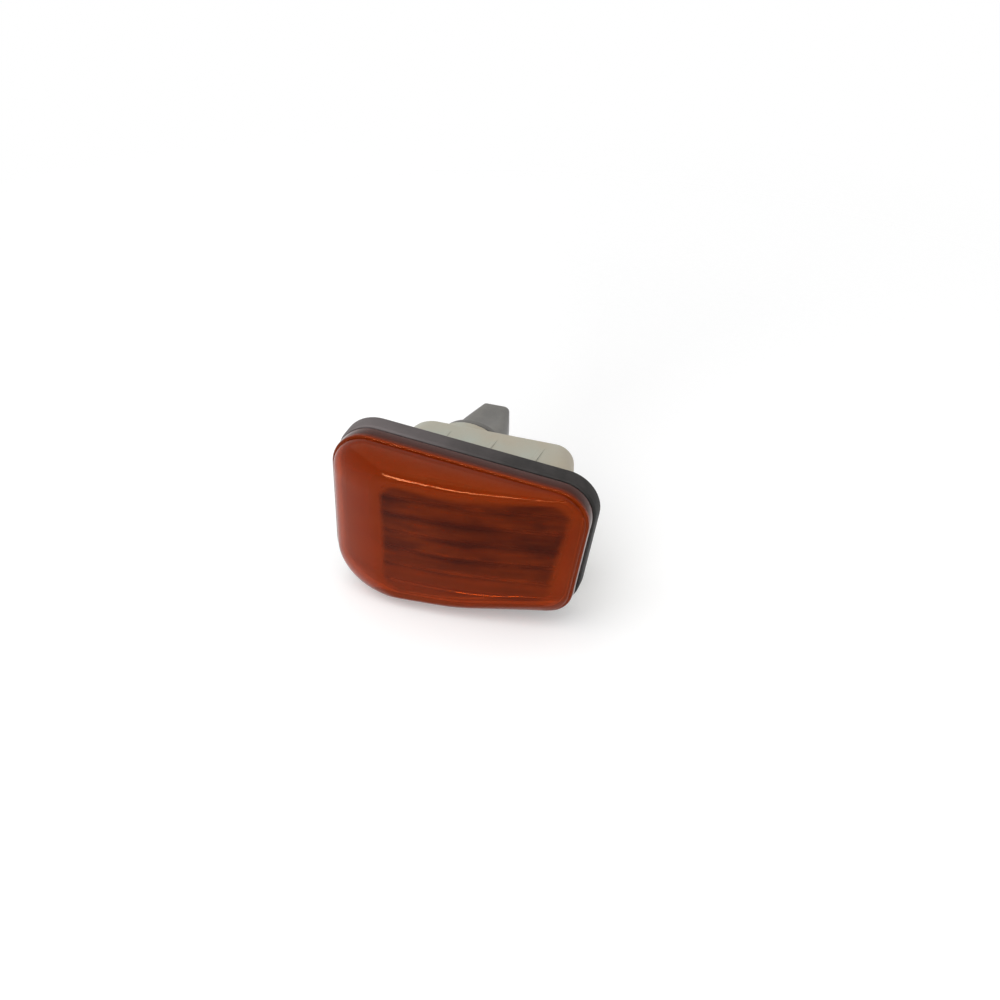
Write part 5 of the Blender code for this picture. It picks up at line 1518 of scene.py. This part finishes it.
def holder_cuts(plan):
    """Solids that are cut away: the bulb's pocket and mouth, the plug's pocket and two blade slots."""
    holder = plan.lamp.holder
    gap = plan.gap
    wall = plan.lamp.housing.wall
    pocket_x = plan.lamp.bulb.wedge_width / 2 + gap
    pocket_z = plan.terminal_plane + holder.terminal_thickness / 2 + gap
    mouth = plan.lamp.bulb.radius + gap
    plug_x = holder.grip_tip_x - holder.plug_wall
    plug_z = holder.grip_tip_z - holder.plug_wall
    cuts = [
        block("bulb_pocket", (-pocket_x, plan.barrel_front - wall, -pocket_z),
              (pocket_x, plan.pocket_end, pocket_z)),
        lathe("bulb_mouth", [(mouth, plan.barrel_front - wall), (mouth, plan.barrel_front + wall)]),
        block("plug_pocket", (-plug_x, plan.plug_floor, -plug_z), (plug_x, plan.grip_end + wall, plug_z)),
    ]
    slot_x = holder.terminal_width / 2 + gap
    slot_z = holder.terminal_thickness / 2 + gap
    for side in (-1, 1):
        centre = side * holder.blade_offset
        cuts.append(block("blade_slot", (-slot_x, plan.pocket_end - wall, centre - slot_z),
                          (slot_x, plan.plug_floor + wall, centre + slot_z)))
    return cuts


def seal_mesh(plan):
    """Ring seal with a section between a round and a square."""
    holder = plan.lamp.holder
    middle = plan.seal_front + holder.seal_thickness / 2
    centre = (plan.seal_inner + plan.seal_outer) / 2
    profile = []
    for step in range(SEAL_STEPS):
        angle = 2 * math.pi * step / SEAL_STEPS
        across = math.copysign(abs(math.cos(angle)) ** SEAL_SQUARENESS, math.cos(angle))
        along = math.copysign(abs(math.sin(angle)) ** SEAL_SQUARENESS, math.sin(angle))
        radius = centre + across * holder.seal_width / 2
        profile.append((radius, middle + along * holder.seal_thickness / 2))
    return lathe("ring_seal", profile, loop=True)


class LAMP_OT_holder(Operator):
    """Build the twist-in bulb holder and its ring seal"""
    bl_idname = "lamp.holder"
    bl_label = "Bulb holder"

    def execute(self, context):
        lamp = context.scene.lamp
        plan = Plan(lamp)
        finish = lamp.finish
        steps = [("UNION", mesh) for mesh in holder_joins(plan)]
        steps += [("DIFFERENCE", mesh) for mesh in holder_cuts(plan)]
        piece = carve("twist_holder", barrel_mesh(plan), steps)
        moved(piece.data, lamp.holder.place)
        aged = shaded(finish.grey, gain=0.8)
        material = moulded_plastic("grey_plastic", finish.grey, aged, finish.dust,
                                   roughness=0.44, wear_amount=0.6, dust_amount=0.25)
        finish_piece(piece, material, "bulb_holder", "holder_body")

        ring = add_object("ring_seal", moved(seal_mesh(plan), lamp.holder.place))
        material = rubber("seal_rubber", finish.seal, finish.bloom_and_sheen, dust_amount=0.3)
        finish_piece(ring, material, "bulb_holder", "holder_seal", sharp=50.0)
        return {"FINISHED"}


def envelope(radius, nose, shoulder):
    """Rings of a domed tube, from just behind its tip to the shoulder."""
    rings = []
    for step in range(1, DOME_STEPS + 1):
        angle = math.pi / 2 * step / DOME_STEPS
        reach = radius * math.sin(angle)
        rings.append(soft_box(reach, reach, reach, nose + radius * (1 - math.cos(angle))))
    rings.append(soft_box(radius, radius, radius, shoulder))
    return rings


def pinch(radius, start, end, end_x, end_z):
    """Rings of a tube that draws in from its round to a flat end."""
    rings = []
    for step in range(1, PINCH_STEPS + 1):
        share = step / PINCH_STEPS
        ease = smooth_step(share)
        half_x = radius + (end_x - radius) * ease
        half_z = radius + (end_z - radius) * ease
        rings.append(soft_box(half_x, half_z, half_z, start + (end - start) * share))
    return rings


def glass_outside(plan):
    """The bulb's envelope with its pinched base, as a full body."""
    bulb = plan.lamp.bulb
    pinch_end = plan.bulb_base - bulb.wedge_length + bulb.pinch_after
    wedge_x = bulb.wedge_width / 2
    wedge_z = bulb.wedge_thickness / 2
    rings = envelope(bulb.radius, plan.bulb_tip, plan.pinch_start)
    rings += pinch(bulb.radius, plan.pinch_start, pinch_end, wedge_x, wedge_z)[:-1]
    corner = wedge_z * PINCH_CORNER
    rings.append(soft_box(wedge_x, wedge_z, corner, pinch_end))
    for inset, along in quarter(plan.gap, SMALL_EDGE_STEPS):
        rings.append(soft_box(wedge_x - inset, wedge_z - inset, corner - inset, plan.bulb_base - along))
    return skin("bulb_envelope", rings, fans=(True, False))


def glass_cuts(plan):
    """Solids that are cut from the glass: its hollow, and a hole for each lead wire."""
    bulb = plan.lamp.bulb
    inner = bulb.radius - bulb.glass
    end = plan.bulb_base - bulb.wedge_length - bulb.pinch_web
    end_x = bulb.lead_spread + 3 * bulb.lead_radius
    end_z = bulb.wedge_thickness / 2 * HOLLOW_HEIGHT
    rings = envelope(inner, plan.bulb_tip + bulb.glass, plan.pinch_start)
    rings += pinch(inner, plan.pinch_start, end, end_x, end_z)
    cuts = [skin("bulb_hollow", rings, fans=(True, False))]
    hole = bulb.lead_radius + plan.gap / 2
    for side in (-1, 1):
        bore = [circle(hole, y, BORE_STEPS) for y in (end - CUT_PAST / 2, plan.bulb_base + CUT_PAST)]
        cuts.append(moved(skin("lead_hole", bore), side * bulb.lead_spread))
    return cuts


class LAMP_OT_bulb(Operator):
    """Build the wedge-base bulb with its filament, and finish its wires and contact strips"""
    bl_idname = "lamp.bulb"
    bl_label = "Bulb"

    def execute(self, context):
        lamp = context.scene.lamp
        plan = Plan(lamp)
        bulb = lamp.bulb
        finish = lamp.finish
        cuts = [("DIFFERENCE", mesh) for mesh in glass_cuts(plan)]
        piece = carve("bulb_envelope", glass_outside(plan), cuts)
        moved(piece.data, lamp.holder.place)
        finish_piece(piece, bulb_glass(finish), "bulb_holder", "bulb_glass", sharp=45.0)

        tungsten = worn_metal("tungsten", finish.tungsten, finish.tungsten,
                              roughness=0.4, lines=(1.0, 1.0, 1.0), stain_share=0.2)
        coil = add_object("filament_coil", bpy.data.meshes.new("filament_coil"))
        ends = plan.bulb_tip + bulb.radius + bulb.filament_setback
        run_tree(coil, coil_tree(), {
            "Turns": bulb.coil_turns,
            "Coil Radius": bulb.coil_radius,
            "Wire Radius": bulb.wire_radius,
            "Spread": bulb.filament_spread,
            "Rise": bulb.filament_rise,
            "Start": (lamp.holder.place, ends, 0.0),
            "Material": tungsten,
        })
        finish_piece(coil, tungsten, "bulb_holder", "bulb_filament")

        lead = worn_metal("lead_wire", finish.lead, finish.tungsten,
                          roughness=0.28, lines=(1.0, 0.05, 1.0), stain_share=0.4)
        brass = worn_metal("brass_strip", finish.brass, finish.brass_dull,
                           roughness=0.3, lines=(1.0, 0.05, 1.0), stain_share=0.7)
        for name, material in (("bulb_lead_upper", lead), ("bulb_lead_lower", lead),
                               ("terminal_upper", brass), ("terminal_lower", brass)):
            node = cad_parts[name]
            node.data.materials.clear()
            node.data.materials.append(material)
        return {"FINISHED"}


def seen_ray(wires):
    """One for a ray that shows the background: straight, in gloss or through glass."""
    path = wires.add("ShaderNodeLightPath").outputs
    seen = wires.maths("MAXIMUM", path["Is Camera Ray"], path["Is Glossy Ray"])
    return wires.maths("MAXIMUM", seen, path["Is Transmission Ray"])


def stage_material(colour, lift):
    """Pale floor that fades into the white room far from the lamp."""
    material, wires, shader = new_material("pale_floor")
    place = wires.add("ShaderNodeTexCoord").outputs["Object"]
    near = wires.between(wires.vector("LENGTH", place), *FLOOR_FADE, 1.0, 0.0)
    wires.feed(shader.inputs["Alpha"], near)
    cloud = wires.between(wires.noise(place, 3.0, detail=2.0), 0.3, 0.7, 0.99, 1.0)
    base = wires.mix(cloud, shaded(colour, gain=0.985), colour)
    wires.feed(shader.inputs["Base Color"], base)
    shader.inputs["Emission Color"].default_value = (1.0, 1.0, 1.0, 1.0)
    wires.feed(shader.inputs["Emission Strength"], wires.maths("MULTIPLY", seen_ray(wires), lift))
    shader.inputs["Roughness"].default_value = 0.9
    shader.inputs["Specular IOR Level"].default_value = 0.1
    return material


def add_floor(stage):
    """A square floor just under the lamp."""
    low = min(corner[2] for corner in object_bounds())
    half = stage.floor_size
    build = bmesh.new()
    corners = [build.verts.new((x, y, low - FLOOR_GAP))
               for x, y in ((-half, -half), (half, -half), (half, half), (-half, half))]
    build.faces.new(corners)
    mesh = bpy.data.meshes.new("floor")
    build.to_mesh(mesh)
    build.free()
    floor = add_object("floor", mesh)
    floor.data.materials.append(stage_material(stage.floor, stage.floor_lift))
    floor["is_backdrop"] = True


def add_room(scene, sky):
    """An even dim light from all sides, which is white where it is seen or mirrored."""
    world = bpy.data.worlds.new("soft_room")
    scene.world = world
    world.use_nodes = True
    wires = Wires(world.node_tree)
    background = world.node_tree.nodes["Background"]
    background.inputs["Color"].default_value = (1.0, 1.0, 1.0, 1.0)
    wires.feed(background.inputs["Strength"], wires.between(seen_ray(wires), 0.0, 1.0, sky, 1.0))


def aim(thing, away, distance=1.0):
    """Puts a light or camera that way from the origin, and points it back there."""
    thing.location = away * distance
    thing.rotation_euler = (-away).to_track_quat("-Z", "Y").to_euler()


def add_light(name, power, width, height, place):
    """A soft light of that size, pointed at the lamp."""
    data = bpy.data.lights.new(name, "AREA")
    data.shape = "RECTANGLE"
    data.size = width
    data.size_y = height
    data.energy = power
    aim(add_object(name, data), Vector(place))


def add_camera(scene, stage):
    """The camera of the photo's view."""
    data = bpy.data.cameras.new("camera")
    data.sensor_fit = "HORIZONTAL"
    data.angle = stage.field
    data.shift_x = stage.shift_x
    data.shift_y = stage.shift_y
    data.clip_start = 0.01
    data.clip_end = 20.0
    camera = add_object("camera", data)
    level = math.cos(stage.elevation)
    away = Vector((math.sin(stage.azimuth) * level, -math.cos(stage.azimuth) * level,
                   math.sin(stage.elevation)))
    aim(camera, away, stage.distance)
    scene.camera = camera


class LAMP_OT_stage(Operator):
    """Set the floor, the soft light and the camera"""
    bl_idname = "lamp.stage"
    bl_label = "Stage"

    def execute(self, context):
        scene = context.scene
        stage = scene.lamp.stage
        add_floor(stage)
        add_room(scene, stage.sky)
        add_light("key_light", stage.key, width=1.4, height=1.4, place=(-0.35, -0.25, 0.95))
        add_light("fill_light", stage.fill, width=0.9, height=0.9, place=(0.8, -0.6, 0.5))
        add_light("strip_light", stage.strip, width=0.7, height=0.1, place=(-0.05, -0.95, 0.185))
        add_camera(scene, stage)
        scene.view_settings.view_transform = "Standard"
        return {"FINISHED"}


class LAMP_PT_parts(Panel):
    """Lists what the add-on builds"""
    bl_idname = "LAMP_PT_parts"
    bl_label = "Turn signal lamp"
    bl_space_type = "VIEW_3D"
    bl_region_type = "UI"
    bl_category = "Lamp"

    def draw(self, context):
        column = self.layout.column()
        for operator in OPERATORS:
            column.operator(operator.bl_idname)
        lamp = context.scene.lamp
        column.prop(lamp.lens, "flute_pitch")
        column.prop(lamp.gasket, "thickness")
        column.prop(lamp.finish, "amber")


OPERATORS = (LAMP_OT_lens, LAMP_OT_gasket, LAMP_OT_housing, LAMP_OT_spring_clip, LAMP_OT_holder,
             LAMP_OT_bulb, LAMP_OT_stage)
GROUPS = (OutlineSizes, LensSizes, GasketSizes, HousingSizes, ClipSizes, HolderSizes, BulbSizes,
          FinishSettings, StageSettings, LampSettings)
CLASSES = (*GROUPS, *OPERATORS, LAMP_PT_parts)


def register():
    for item in CLASSES:
        bpy.utils.register_class(item)
    bpy.types.Scene.lamp = PointerProperty(type=LampSettings)


def unregister():
    del bpy.types.Scene.lamp
    for item in reversed(CLASSES):
        bpy.utils.unregister_class(item)


def main():
    register()
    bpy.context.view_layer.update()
    bpy.ops.lamp.stage()
    bpy.ops.lamp.lens()
    bpy.ops.lamp.gasket()
    bpy.ops.lamp.housing()
    bpy.ops.lamp.spring_clip()
    bpy.ops.lamp.holder()
    bpy.ops.lamp.bulb()


if __name__ == "__main__":
    main()
